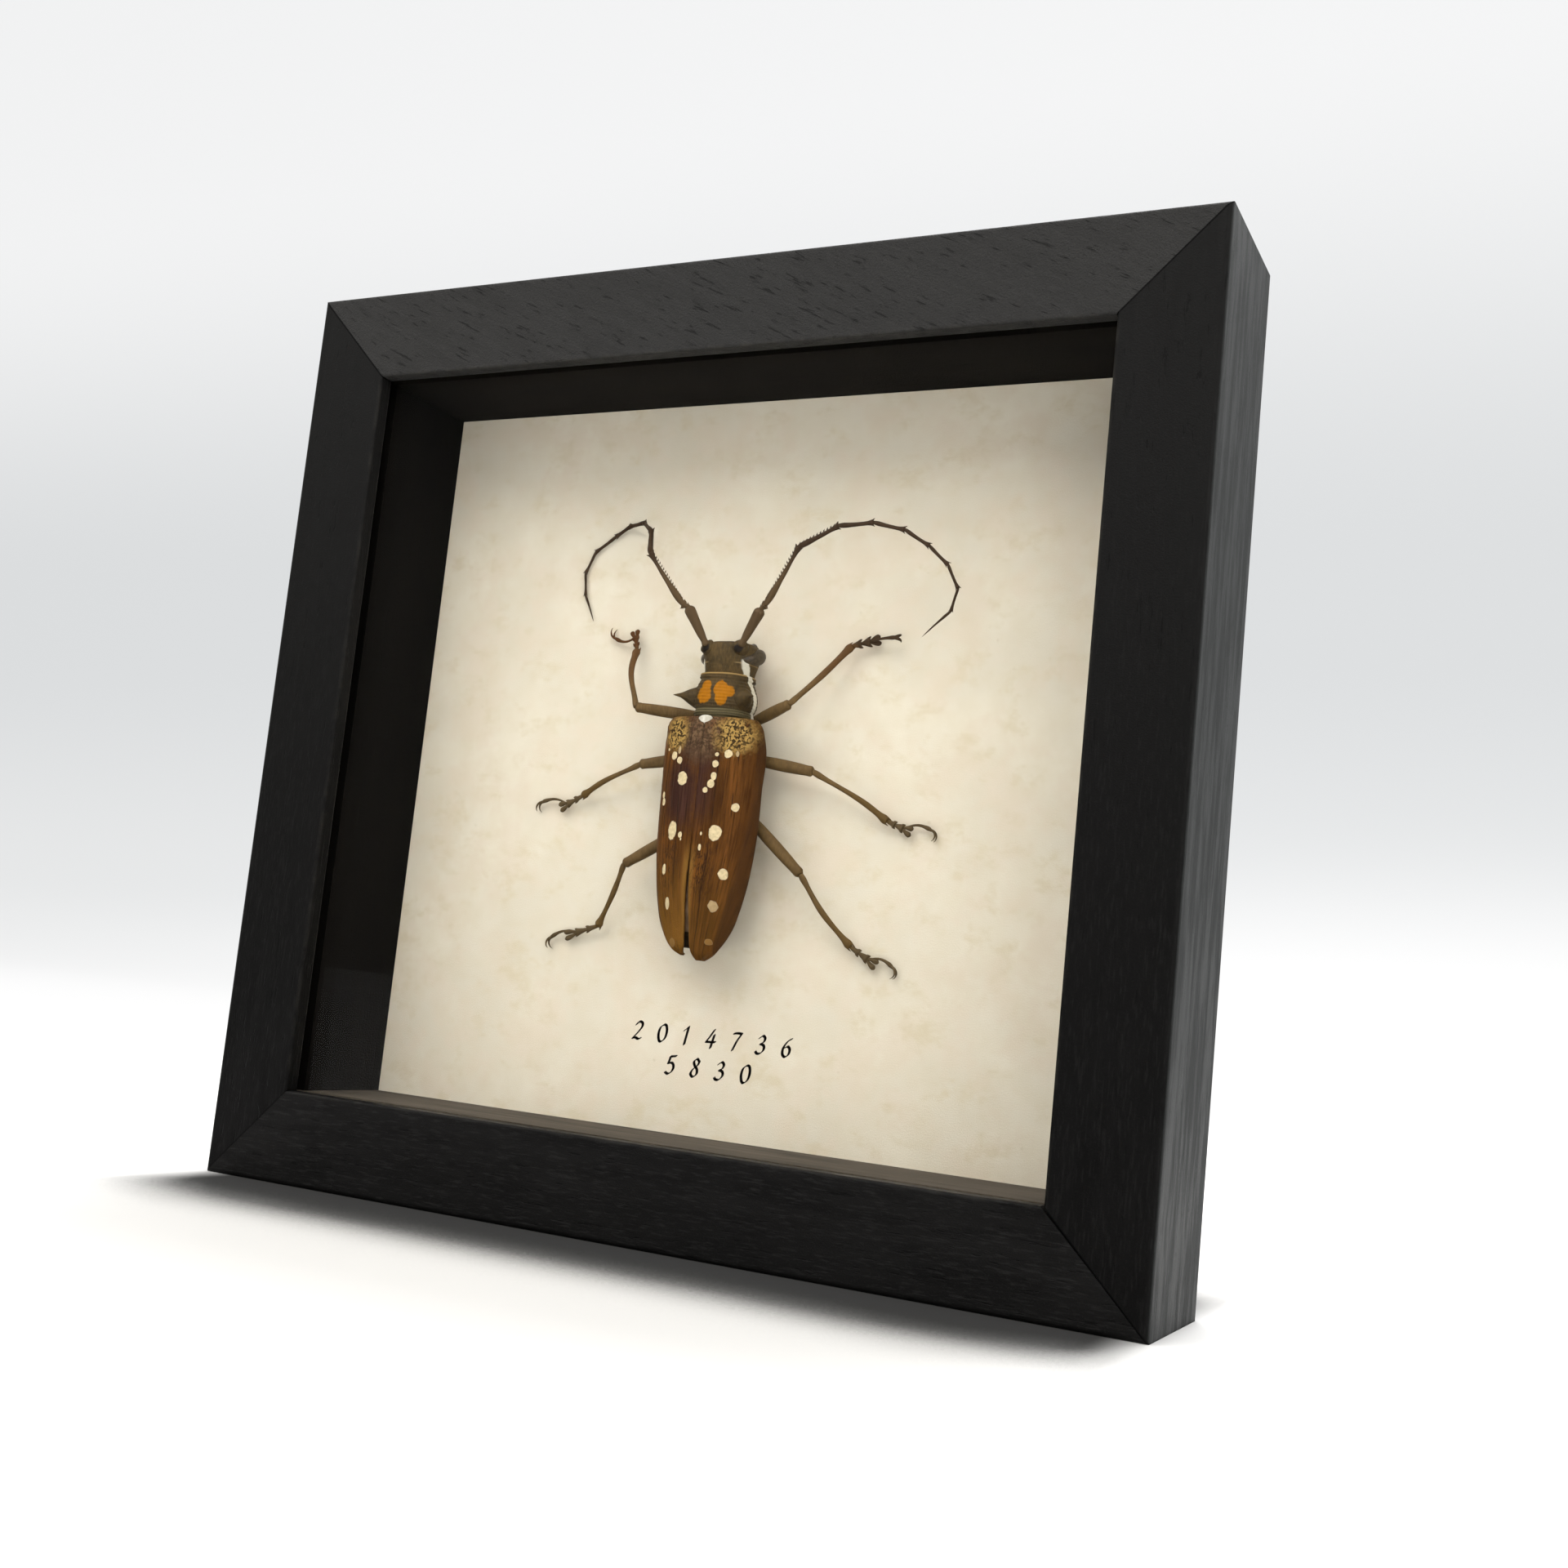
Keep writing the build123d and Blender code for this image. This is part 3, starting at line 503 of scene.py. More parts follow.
class Finish(Wiring):
    """Material with a Principled BSDF, ready to be wired."""

    def __init__(self, name, **constants):
        self.material = bpy.data.materials.new(name)
        self.material.use_nodes = True
        super().__init__(self.material.node_tree)
        self.shader = self.tree.nodes["Principled BSDF"]
        self.place = self.add("ShaderNodeTexCoord").outputs["Object"]
        for socket, value in constants.items():
            self.shader.inputs[socket.replace("_", " ")].default_value = value

    def use(self, group_name, inputs):
        """Outputs of a shared group, placed in this material with its own values."""
        node = self.add("ShaderNodeGroup", node_tree=groups()[group_name])
        for key, value in inputs.items():
            self.feed(node.inputs[key], value)
        return node.outputs

    def mottle(self, coarse, fine):
        return self.use("Mottle", {"Place": self.place, "Coarse": coarse, "Fine": fine})

    def turned(self, turn, shift=0.0):
        """Place turned by Euler angles, and moved so that each piece has its own pattern."""
        fields = {"Vector": self.place, "Location": (shift, shift, shift), "Rotation": turn}
        return self.add("ShaderNodeMapping", fields).outputs[0]

    def set(self, socket, value):
        self.feed(self.shader.inputs[socket], value)

    def done(self, colour, height, relief, depth):
        """The material, with its colour, and a height that stands out by the relief's strength and depth."""
        self.set("Base Color", colour)
        self.set("Normal", self.bump(height, relief, depth))
        return self.material

    def show(self, shader, rays, share=None):
        """Shows another shader to the named kinds of rays, wholly or by a share."""
        path = self.add("ShaderNodeLightPath").outputs
        seen = path[rays[0]]
        for ray in rays[1:]:
            seen = self.most(seen, path[ray])
        if share is not None:
            seen = self.times(seen, share)
        both = self.add("ShaderNodeMixShader", {0: seen, 1: self.shader.outputs[0], 2: shader})
        self.feed(self.tree.nodes["Material Output"].inputs["Surface"], both.outputs[0])


def colours():
    return bpy.context.scene.specimen_colours


def sizes():
    return bpy.context.scene.specimen_sizes


def opaque(colour, light=1.0):
    """Red, green, blue and full opacity, made lighter or darker by a factor."""
    return tuple(light * c for c in colour) + (1.0,)


# Materials of the case; their fixed colours are linear red, green and blue

# Greys of the rails' outer sides: a painted sheen of grazing light
SIDE_SHEEN_DARK = (0.021, 0.022, 0.022)
SIDE_SHEEN_PALE = (0.029, 0.031, 0.031)
MITRE_GAP = (0.001, 0.001, 0.001)
WORN_WOOD_AND_EDGE_HIGHLIGHT = (0.13, 0.12, 0.1)
SPACER_TONES = ((0.0035, 0.003, 0.0024), (0.0075, 0.0063, 0.005), (0.01, 0.0083, 0.0065))
PAPER_PINK = (0.99, 0.945, 0.93)
PAPER_TAN = (0.88, 0.83, 0.72)
PAPER_SPECK = (0.6, 0.5, 0.34)
BOARD_DARK = (0.2, 0.128, 0.07)
BOARD_PALE = (0.27, 0.18, 0.105)
BOARD_FIBRE = (0.12, 0.075, 0.04)
GLASS_TINT = (0.985, 0.99, 0.985)
RUBBED_STEEL = (0.72, 0.72, 0.7)


def wood(name, turn, outer, shift, lift, rough=0.45, relief=0.35, grit=0.35, side_turn=None):
    """Black-stained open-grained wood, lighter towards the top as painted light, and greyer on its outer side
    as a painted sheen.

    Its grain runs along Z once it is turned. outer is the way that the outer side faces, and side_turn turns
    the grain of that side alone.
    """
    f = Finish(name, Specular_IOR_Level=0.045)
    outside = f.ramp(f.dot(f.add("ShaderNodeNewGeometry").outputs["True Normal"], outer), 0.7, 0.95)
    turned = f.turned(turn, shift)
    if side_turn:
        turned = f.mix(outside, turned, f.turned(side_turn, shift))
    grain = f.use("Open Grain", {"Place": turned, "Length": sizes().grain_length, "Roughness": 0.8})
    cloud = f.use("Mottle", {"Place": turned, "Coarse": 90.0, "Fine": 3800.0})
    fibres = f.noise(f.stretch(turned, (1.0, 1.0, 0.12)), 3600.0, 2.0)
    x, _, z = f.split(f.place)
    above = f.size(f.minus(z, FRAME_HALF_HEIGHT))
    off_mitre = f.minus(f.minus(f.size(x), above), FRAME_HALF_WIDTH - FRAME_HALF_HEIGHT)
    off_mitre = f.size(off_mitre)
    wear = f.use("Edge Wear", {"Place": f.place, "Amount": f.ramp(off_mitre, 0.0008, 0.003, 0.0, 0.35)})
    stain = colours().stain
    base = f.mix(grain["Tone"], opaque(stain, 0.75 * lift), opaque(stain, 1.25 * lift))
    clouded = f.times(cloud["Cloud"], 0.3)
    dusty = f.ramp(cloud["Grit"], 0.55, 0.75, 0.0, 0.5)
    fibrous = f.ramp(fibres, 0.5, 0.75, 0.0, 0.6)
    # painted light: the stain turns lighter towards the top of the frame, where more light falls
    painted_top_light = f.ramp(z, 0.02, 0.15, 0.0, 0.75)
    for mask, light in ((clouded, 1.6), (dusty, 2.4), (fibrous, 3.0), (painted_top_light, 2.6)):
        base = f.mix(mask, base, opaque(stain, light * lift))
    base = f.mix(f.times(grain["Pores"], 0.6), base, opaque(stain, 0.3))
    # painted sheen: the outer sides turn greyer, standing for grazing light on them
    painted_side_sheen = f.mix(f.ramp(fibres, 0.3, 0.7), opaque(SIDE_SHEEN_DARK), opaque(SIDE_SHEEN_PALE))
    base = f.mix(f.times(outside, 0.85), base, painted_side_sheen)
    base = f.mix(f.ramp(off_mitre, 0.0003, 0.0001), base, opaque(MITRE_GAP))
    # pale edges: partly worn bare wood, partly a painted highlight along the arrises
    base = f.mix(wear["Mask"], base, opaque(WORN_WOOD_AND_EDGE_HIGHLIGHT))
    f.set("Roughness", f.ramp(grain["Tone"], 0.0, 1.0, rough + 0.1, rough - 0.08))
    return f.done(base, f.plus(grain["Height"], f.times(cloud["Grit"], grit)), relief, 0.0004)


def spacer_wood(name, turn, lift=1.0):
    """Near-black brown painted strip."""
    f = Finish(name, Roughness=0.8, Specular_IOR_Level=0.06)
    grain = f.use("Open Grain", {"Place": f.turned(turn), "Length": 0.012, "Roughness": 0.5})
    cloud = f.mottle(50.0, 3000.0)
    dark, pale, cloudy = (opaque(tone, lift) for tone in SPACER_TONES)
    base = f.mix(grain["Tone"], dark, pale)
    base = f.mix(f.times(cloud["Cloud"], 0.3), base, cloudy)
    return f.done(base, f.plus(grain["Height"], cloud["Grit"]), 0.35, 0.0003)


def paper_finish():
    """Parchment-like paper: cloudy cream with pinkish and tan patches, fibres and faint specks."""
    f = Finish("Mottled paper", Roughness=0.9)
    cloud = f.mottle(60.0, 3600.0)
    small = f.mottle(210.0, 8000.0)
    paper = colours().paper
    pink = opaque(paper[i] * PAPER_PINK[i] for i in range(3))
    tan = opaque(paper[i] * PAPER_TAN[i] for i in range(3))
    base = f.mix(cloud["Cloud"], opaque(paper, 0.96), opaque(paper, 1.04))
    patches = f.ramp(f.noise(f.place, 130.0, 5.0, 0.66), 0.42, 0.64)
    base = f.mix(f.times(patches, 0.85), base, pink)
    stains = f.ramp(f.noise(f.stretch(f.place, (1.0, 1.0, 1.4)), 170.0, 6.0, 0.7), 0.5, 0.72, 0.0, 0.75)
    base = f.mix(stains, base, tan)
    base = f.mix(f.times(small["Cloud"], 0.25), base, tan)
    speck = f.ramp(f.noise(f.place, 620.0, 2.0), 0.74, 0.8)
    base = f.mix(f.times(speck, 0.3), base, opaque(PAPER_SPECK))
    return f.done(base, f.plus(cloud["Grit"], f.times(small["Grit"], 0.5)), 0.2, 0.0002)


def card_finish():
    """Brown board with darker fibres."""
    f = Finish("Brown board", Roughness=0.85)
    cloud = f.mottle(45.0, 5200.0)
    fibres = f.noise(f.stretch(f.place, (1.0, 1.0, 6.0)), 900.0, 3.0, 0.7)
    base = f.mix(cloud["Cloud"], opaque(BOARD_DARK), opaque(BOARD_PALE))
    base = f.mix(f.ramp(fibres, 0.55, 0.75, 0.0, 0.55), base, opaque(BOARD_FIBRE))
    return f.done(base, f.plus(cloud["Grit"], fibres), 0.4, 0.0003)


def glass_finish():
    """Clear, thin picture glass that hardly mirrors, with faint dust."""
    f = Finish("Picture glass", Roughness=0.02, Transmission_Weight=1.0, IOR=1.12)
    f.set("Roughness", f.ramp(f.noise(f.place, 900.0, 4.0, 0.7), 0.66, 0.85, 0.0, 0.04))
    clear = f.add("ShaderNodeBsdfTransparent", {"Color": opaque(GLASS_TINT)}).outputs[0]
    f.show(clear, ("Is Shadow Ray", "Is Diffuse Ray"))
    return f.material


def steel_finish():
    """Cloudy zinc plating, rubbed bright along its edges."""
    f = Finish("Zinc-plated steel", Metallic=1.0)
    cloud = f.mottle(260.0, 4200.0)
    wear = f.use("Edge Wear", {"Place": f.place, "Amount": 0.5})
    steel = colours().steel
    base = f.mix(cloud["Cloud"], opaque(steel, 0.78), opaque(steel, 1.08))
    base = f.mix(wear["Mask"], base, opaque(RUBBED_STEEL))
    f.set("Roughness", f.ramp(cloud["Grit"], 0.3, 0.7, 0.26, 0.46))
    return f.done(base, cloud["Grit"], 0.15, 0.0001)


def ink_finish():
    """Ink that pools darker and thins lighter."""
    f = Finish("Brown-black ink", Roughness=0.7)
    ink = colours().ink
    f.set("Base Color", f.mix(f.mottle(900.0, 6000.0)["Cloud"], opaque(ink, 0.8), opaque(ink, 1.6)))
    return f.material


# Materials of the beetle; their fixed colours are linear red, green and blue

REAR_DARK = (0.17, 0.075, 0.011)
REAR_PALE = (0.32, 0.155, 0.026)
INNER_EDGE = (0.27, 0.135, 0.028)
DUSK = (0.19, 0.115, 0.06)
VEIN_DARK = (0.02, 0.011, 0.006)
GRANULE = (0.024, 0.014, 0.008)
WARM_SPOT = (0.3, 0.16, 0.045)
MARGIN_SHADE = (0.05, 0.024, 0.01)
STRIPE_WHITE = (0.7, 0.66, 0.55)
OLIVE_DARK = (0.05, 0.04, 0.02)
OLIVE_PALE = (0.15, 0.125, 0.062)
FRONT_RIM = (0.34, 0.22, 0.08)
SOCKET_DARK = (0.008, 0.006, 0.005)
NECK_RIM = (0.27, 0.19, 0.085)
FORELEG_OCHRE = (0.125, 0.06, 0.022)
LEG_OCHRE = (0.135, 0.08, 0.026)
FOOT_GREY = (0.1, 0.07, 0.036)
FOOT_COLOURS = {"front_leg_left": (0.1, 0.04, 0.014), "front_leg_right": (0.05, 0.032, 0.018)}
ANTENNA_ROOT = (0.11, 0.07, 0.034)

# Pale spots in mm: across from the frame's middle, up from its base, half width, half length, and warmth
PALE_SPOTS = {
    -1: [
        (-8.0, 80.8, 0.25, 0.25, 0), (-6.5, 79.7, 0.6, 0.75, 0), (-5.2, 78.9, 0.6, 0.6, 0),
        (-5.4, 80.7, 0.3, 0.7, 0.5), (-4.2, 75.8, 1.05, 1.15, 0), (-8.3, 73.0, 0.35, 0.6, 0),
        (-8.1, 71.8, 0.4, 0.65, 0), (-5.2, 66.9, 0.9, 1.6, 0), (-3.4, 66.2, 0.4, 0.5, 0),
        (-3.2, 65.5, 0.15, 0.25, 0), (-6.2, 60.3, 0.42, 0.9, 0), (-5.0, 54.6, 0.48, 1.0, 0),
        (-4.0, 48.2, 0.6, 0.7, 1),
    ],
    1: [
        (2.0, 80.1, 0.35, 0.35, 0), (3.9, 80.3, 0.7, 0.7, 0), (5.4, 80.4, 0.25, 0.5, 0.5),
        (1.9, 78.5, 0.55, 0.6, 0), (1.8, 76.4, 0.5, 0.7, 0), (1.4, 75.1, 0.65, 0.75, 0),
        (0.5, 74.0, 0.45, 0.48, 0), (5.8, 71.4, 0.6, 0.72, 0), (0.6, 66.6, 0.2, 0.3, 0),
        (3.0, 66.9, 1.08, 1.32, 0), (0.6, 64.3, 0.28, 0.53, 0), (4.9, 60.1, 0.75, 0.95, 0),
        (3.6, 54.7, 0.78, 0.95, 0.6), (2.8, 48.8, 0.6, 0.5, 1),
    ],
}
# Other ovals of the wing cases in mm: right of the suture, forward of the roots, half width, half length;
# and how soft their edge is
DARK_PATCHES = {
    -1: ((-1.4, -4.5, 4.2, 6.5, 0.7), (-3.0, -13.0, 4.4, 8.0, 0.6)),
    1: ((-0.4, -7.0, 4.4, 9.5, 0.7), (-0.4, -13.0, 4.2, 7.5, 0.7)),
}
DUSKY_ROOTS = (0.0, -3.0, 4.6, 5.6, 0.6)
WORN_PLACES = ((-4.2, -25.0, 2.7, 6.5, 0.7), (2.4, -25.5, 2.6, 7.0, 0.7))
SHOULDER_GOLD = {-1: (-5.4, -3.0, 2.9, 3.7, 0.5), 1: (5.6, -3.0, 4.0, 3.9, 0.5)}
GRANULAR_ROOTS = (1.0, -2.6, 10.0, 4.8, 0.5)
SPOT_EDGE = 0.12
# How far the rear end of each wing case turns tan, and how light that tan is; the right one's darker tan is
# painted shade
REAR_TAN = {-1: (0.7, 1.0), 1: (0.35, 0.7)}
# Dark veins of a wing case: place across in mm where it is widest, and how strong each one is
VEINS = ((1.9, 0.5), (3.5, 0.8), (5.0, 0.6), (6.6, 0.8))
# Ovals that make up the two orange spots in mm: right of the pronotum's midline, forward of the wing cases,
# half width, half length
ORANGE_SPOTS = [
    (-1.5, 5.3, 0.95, 1.1), (-1.75, 3.7, 1.45, 1.5), (1.3, 4.9, 1.3, 1.4), (2.3, 4.5, 1.4, 1.1),
    (1.6, 3.3, 1.1, 1.3),
]


def oval(f, u, v, half_width, half_length, edge):
    """Mask of an oval on the beetle, with its middle right of the suture and forward of the roots, in mm."""
    inputs = {
        "Place": f.place,
        "Centre": (SPECIMEN_X + u * MM, 0.0, SPECIMEN_Z + v * MM),
        "Reach": (half_width * MM, 1.0, half_length * MM),
        "Edge": edge,
    }
    return f.use("Oval Spot", inputs)["Mask"]


def shell_ground(f, side, share, across, drawn_out, patches, fine):
    """Streaked brown that turns tan towards the rear end and the inner edge, under a purple-brown patch."""
    c = colours()
    broad = f.ramp(f.noise(drawn_out, 480.0, 4.0, 0.6), 0.34, 0.66)
    tone = f.plus(f.times(broad, 0.5), f.times(patches, 0.5))
    base = f.mix(tone, opaque(c.shell, 0.5), opaque(c.shell, 1.6))
    base = f.mix(f.ramp(fine, 0.46, 0.66, 0.0, 0.7), base, opaque(c.shell, 0.35))
    strength, light = REAR_TAN[side]
    # painted shade: the right wing case's tan is a darker copy, set by its light in REAR_TAN
    tan = f.mix(fine, opaque(REAR_DARK, light), opaque(REAR_PALE, light))
    base = f.mix(f.ramp(share, 0.5, 1.0, 0.0, strength), base, tan)
    inner = f.times(f.ramp(across, 0.0016, 0.0009), f.ramp(share, 0.5, 0.62, 0.0, 0.6))
    base = f.mix(inner, base, opaque(INNER_EDGE))
    front, rear = DARK_PATCHES[side]
    dark = f.mix(f.ramp(fine, 0.35, 0.7), opaque(c.bloom, 1.45), opaque(c.bloom, 0.5))
    dark = f.mix(f.times(patches, 0.5), dark, opaque(c.bloom, 0.6))
    base = f.mix(f.times(f.most(oval(f, *front), oval(f, *rear)), 0.94), base, dark)
    dusk = f.times(oval(f, *DUSKY_ROOTS), f.ramp(f.noise(f.place, 900.0, 3.0), 0.35, 0.65, 0.35, 0.9))
    return f.mix(dusk, base, opaque(DUSK))


def shell_lines(f, across, rubbed):
    """Mask of the wandering veins, and of cracks that are strongest on the worn places."""
    wander = f.times(f.minus(f.noise(rubbed, 240.0, 3.0), 0.5), 0.0016)
    lines = 0.0
    for place, strength in VEINS:
        off = f.size(f.plus(f.minus(across, place * MM), wander))
        lines = f.most(f.ramp(off, 0.00016, 0.00004, 0.0, strength), lines)
    lines = f.times(lines, f.ramp(f.noise(rubbed, 420.0, 3.0, 0.6), 0.42, 0.56))
    crackle = f.size(f.minus(f.noise(rubbed, 1100.0, 4.0, 0.62), 0.5))
    left, right = WORN_PLACES
    worn = f.most(oval(f, *left), oval(f, *right))
    return f.most(lines, f.times(f.ramp(crackle, 0.035, 0.008), f.plus(f.times(worn, 0.75), 0.08)))


def shell_shoulder(f, side, base):
    """Colour with the gold hair and the dark granules of the shoulder, and the granules' mask."""
    gold = oval(f, *SHOULDER_GOLD[side])
    netted = f.ramp(f.noise(f.place, 700.0, 3.0, 0.6), 0.3, 0.5)
    tone = colours().gold
    hair = f.mix(f.noise(f.place, 2600.0, 2.0), opaque(tone, 0.7), opaque(tone, 1.35))
    base = f.mix(f.times(gold, netted), base, hair)
    grained = f.most(gold, f.times(oval(f, *GRANULAR_ROOTS), 0.6))
    cells = f.ramp(f.noise(f.place, 2350.0, 2.0, 0.55), 0.49, 0.53)
    granules = f.times(cells, f.times(grained, 0.93))
    return f.mix(granules, base, opaque(GRANULE)), granules


def shell_spots(f, side, base):
    """Cream spots, the warm ones towards tan."""
    mask = 0.0
    warm = 0.0
    for x, z, half_width, half_length, warmth in PALE_SPOTS[side]:
        spot = oval(f, x - SPECIMEN_X / MM, z - SPECIMEN_Z / MM, half_width, half_length, SPOT_EDGE)
        mask = f.most(spot, mask)
        warm = f.most(f.times(spot, float(warmth)), warm)
    cream = colours().spot
    pale = f.mix(f.ramp(f.noise(f.place, 2200.0, 2.0), 0.35, 0.7), opaque(cream, 0.86), opaque(cream, 1.1))
    return f.mix(mask, base, f.mix(warm, pale, opaque(WARM_SPOT)))


def shell_finish(side):
    """Wing case, whose streaks, veins and cracks follow its length and draw together towards its tip."""
    f = Finish("Wing case " + ("left" if side < 0 else "right"), Specular_IOR_Level=0.04)
    x, _, z = f.split(f.place)
    share = f.per(f.minus(SPECIMEN_Z, z), WING_LENGTH * MM, clamp=True)
    narrowing = f.minus(1.0, f.times(f.math("POWER", share, 3.0), 0.62))
    across = f.per(f.times(f.minus(x, SPECIMEN_X), side), narrowing)
    drawn_out = f.join(across, 0.0, f.times(z, 0.045))
    rubbed = f.join(across, side, f.times(z, 0.3))
    patches = f.ramp(f.noise(rubbed, 300.0, 4.0, 0.6), 0.38, 0.62)
    fine = f.noise(drawn_out, 2300.0, 3.0, 0.6)
    base = shell_ground(f, side, share, across, drawn_out, patches, fine)
    lines = shell_lines(f, across, rubbed)
    base = f.mix(lines, base, opaque(VEIN_DARK))
    base, granules = shell_shoulder(f, side, base)
    base = shell_spots(f, side, base)
    # painted shade: the wing cases darken along their outer margins
    rim = f.ramp(across, 0.93 * WING_HALF_WIDTH * MM, 0.99 * WING_HALF_WIDTH * MM)
    base = f.mix(f.times(rim, 0.6), base, opaque(MARGIN_SHADE))
    f.set("Roughness", f.ramp(fine, 0.3, 0.7, 0.42, 0.6))
    height = f.minus(f.times(f.noise(f.place, 3600.0, 2.0), 0.5), lines)
    return f.done(base, f.plus(height, granules), 0.45, 0.00025)


def body_finish(name, tone, grey, hairy=0.55, extra=None):
    """Dark shell under short hair, whose colour is grey-brown; extra paints marks over both."""
    f = Finish(name, Specular_IOR_Level=0.08)
    hair = f.use("Lying Hair", {"Place": f.place, "Density": 3000.0})
    base = f.mix(f.times(hair["Tone"], hairy), opaque(tone), opaque(grey))
    if extra:
        base = extra(f, base)
    f.set("Roughness", f.ramp(hair["Tone"], 0.2, 0.8, 0.42, 0.66))
    return f.done(base, hair["Height"], 0.4, 0.0002)


def forebody_place(f):
    """Distance from the forebody's midline in metres; forward of the wing cases and above the paper in mm."""
    x, y, z = f.split(f.place)
    beside = f.size(f.minus(x, SPECIMEN_X + FOREBODY_RIGHT))
    ahead = f.per(f.minus(z, SPECIMEN_Z), MM)
    above = f.per(f.minus(PAPER_Y, y), MM)
    return beside, ahead, above


def side_stripe(f, base):
    """White stripe low on each side, from behind the eye to the foreleg."""
    beside, ahead, above = forebody_place(f)
    middle = f.plus(5.2, f.times(f.times(ahead, ahead), 0.03))
    wobble = f.times(f.minus(f.noise(f.place, 1100.0, 3.0), 0.5), 1.3)
    away = f.plus(f.size(f.minus(above, middle)), wobble)
    band = f.times(f.ramp(away, 0.85, 0.6), f.ramp(beside, 0.0034, 0.0038))
    band = f.times(band, f.ramp(ahead, 10.6, 10.1))
    return f.mix(band, base, opaque(STRIPE_WHITE))


def pronotum_marks(f, base):
    """Two orange kidney spots, an olive band behind them, a pale front rim and the white side stripes."""
    ahead = forebody_place(f)[1]
    ridges = f.times(f.plus(f.math("SINE", f.times(ahead, 14.0)), 1.0), 0.5)
    olive = f.mix(ridges, opaque(OLIVE_DARK), opaque(OLIVE_PALE))
    base = f.mix(f.ramp(ahead, 1.9, 1.5, 0.0, 0.85), base, olive)
    base = f.mix(f.ramp(ahead, 7.5, 7.58, 0.0, 0.9), base, opaque(FRONT_RIM))
    mask = 0.0
    for u, v, half_width, half_length in ORANGE_SPOTS:
        mask = f.most(oval(f, u + FOREBODY_RIGHT / MM, v, half_width, half_length, 0.14), mask)
    orange = colours().orange
    base = f.mix(mask, base, f.mix(f.noise(f.place, 1200.0, 2.0), opaque(orange, 0.7), opaque(orange, 1.3)))
    return side_stripe(f, base)


def head_marks(f, base):
    """Dark sockets round the antennae's roots, a pale rim behind, and the front of the white side stripes."""
    for side in (-1, 1):
        socket = oval(f, side * 3.2 + FOREBODY_RIGHT / MM, 12.2, 0.95, 0.9, 0.4)
        base = f.mix(f.times(socket, 0.95), base, opaque(SOCKET_DARK))
    beside, ahead, _ = forebody_place(f)
    rim = f.ramp(f.size(f.minus(ahead, 9.8)), 0.16, 0.08)
    rim = f.times(rim, f.ramp(beside, 0.0022, 0.003, 0.0, 0.8))
    return side_stripe(f, f.mix(rim, base, opaque(NECK_RIM)))


def leg_marks(node):
    """Ochre shin, and a foot that is grey-brown, orange-brown on the left foreleg and dark on the right."""
    ankle = at(*LEG_JOINTS[node][3])
    knee = at(*LEG_JOINTS[node][1])
    reach = float(np.linalg.norm(ankle - knee))
    ochre = FORELEG_OCHRE if node.startswith("front") else LEG_OCHRE
    foot_colour = FOOT_COLOURS.get(node, FOOT_GREY)

    def mark(f, base):
        from_ankle = f.vector("SUBTRACT", f.place, tuple(ankle))
        shin = f.ramp(f.length(from_ankle), 0.95 * reach, 0.2 * reach, 0.0, 0.85)
        base = f.mix(shin, base, opaque(ochre))
        foot = f.ramp(f.dot(from_ankle, tuple((ankle - knee) / reach)), 0.0, 0.0008)
        return f.mix(f.times(foot, 0.85), base, opaque(foot_colour))

    return mark


def antenna_marks(f, base):
    """Grey-brown towards the roots."""
    near = f.length(f.vector("SUBTRACT", f.place, tuple(fore(0.0, 12.6, 9.0))))
    return f.mix(f.ramp(near, 0.021, 0.015, 0.0, 0.85), base, opaque(ANTENNA_ROOT))


def plain_finish(name, dark, light, roughness, coarse=300.0, fine=3000.0, relief=0.3, **constants):
    """Two-tone finish for small pieces."""
    f = Finish(name, Roughness=roughness, **constants)
    cloud = f.mottle(coarse, fine)
    return f.done(f.mix(cloud["Cloud"], opaque(dark), opaque(light)), cloud["Grit"], relief, 0.0002)


# Case


SHARP_ANGLE = math.radians(40)


def dress(node, material, bevel=0.0, segments=2):
    """Gives a CAD node its finish, and softens its edges where bevel is above zero."""
    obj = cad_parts[node]
    obj.data.materials.clear()
    obj.data.materials.append(material)
    if bevel:
        modifier = obj.modifiers.new("Soft edges", "BEVEL")
        modifier.width = bevel
        modifier.segments = segments
        modifier.limit_method = "ANGLE"
        modifier.angle_limit = SHARP_ANGLE


class SPECIMEN_OT_case(bpy.types.Operator):
    """Finish the stained rails, the glass, the spacers, the paper and the board"""

    bl_idname = "specimen.case"
    bl_label = "Case"

    def execute(self, context):
        upright = (0.0, 0.0, 0.0)
        lying = (0.0, math.radians(90), 0.0)
        slanting = (0.0, math.radians(64), 0.0)
        # The rails share one stain; their lifts are painted light and shade: the top rail lighter, the side
        # rails darker
        top = wood(
            "Stained top rail", slanting, outer=(0, 0, 1), shift=0.31, lift=2.1,
            rough=0.6, relief=0.9, grit=0.9, side_turn=lying,
        )
        dress("rail_top", top)
        dress("rail_bottom", wood("Stained bottom rail", lying, outer=(0, 0, -1), shift=0.11, lift=1.0))
        dress("rail_left", wood("Stained left rail", upright, outer=(-1, 0, 0), shift=0.57, lift=0.56))
        dress("rail_right", wood("Stained right rail", upright, outer=(1, 0, 0), shift=0.83, lift=0.52))
        dress("spacer_top", spacer_wood("Dark spacer top", lying))
        # painted light: the bottom spacer is made lighter, as if lit from above
        dress("spacer_bottom", spacer_wood("Spacer bottom in painted light", lying, lift=14.0))
        # painted shade: the left spacer is made darker than the others
        dress("spacer_left", spacer_wood("Spacer left in painted shade", upright, lift=0.45))
        dress("spacer_right", spacer_wood("Dark spacer right", upright))
        dress("glass_pane", glass_finish())
        dress("backing_paper", paper_finish())
        dress("backing_board", card_finish())
        return {"FINISHED"}


# Back hardware


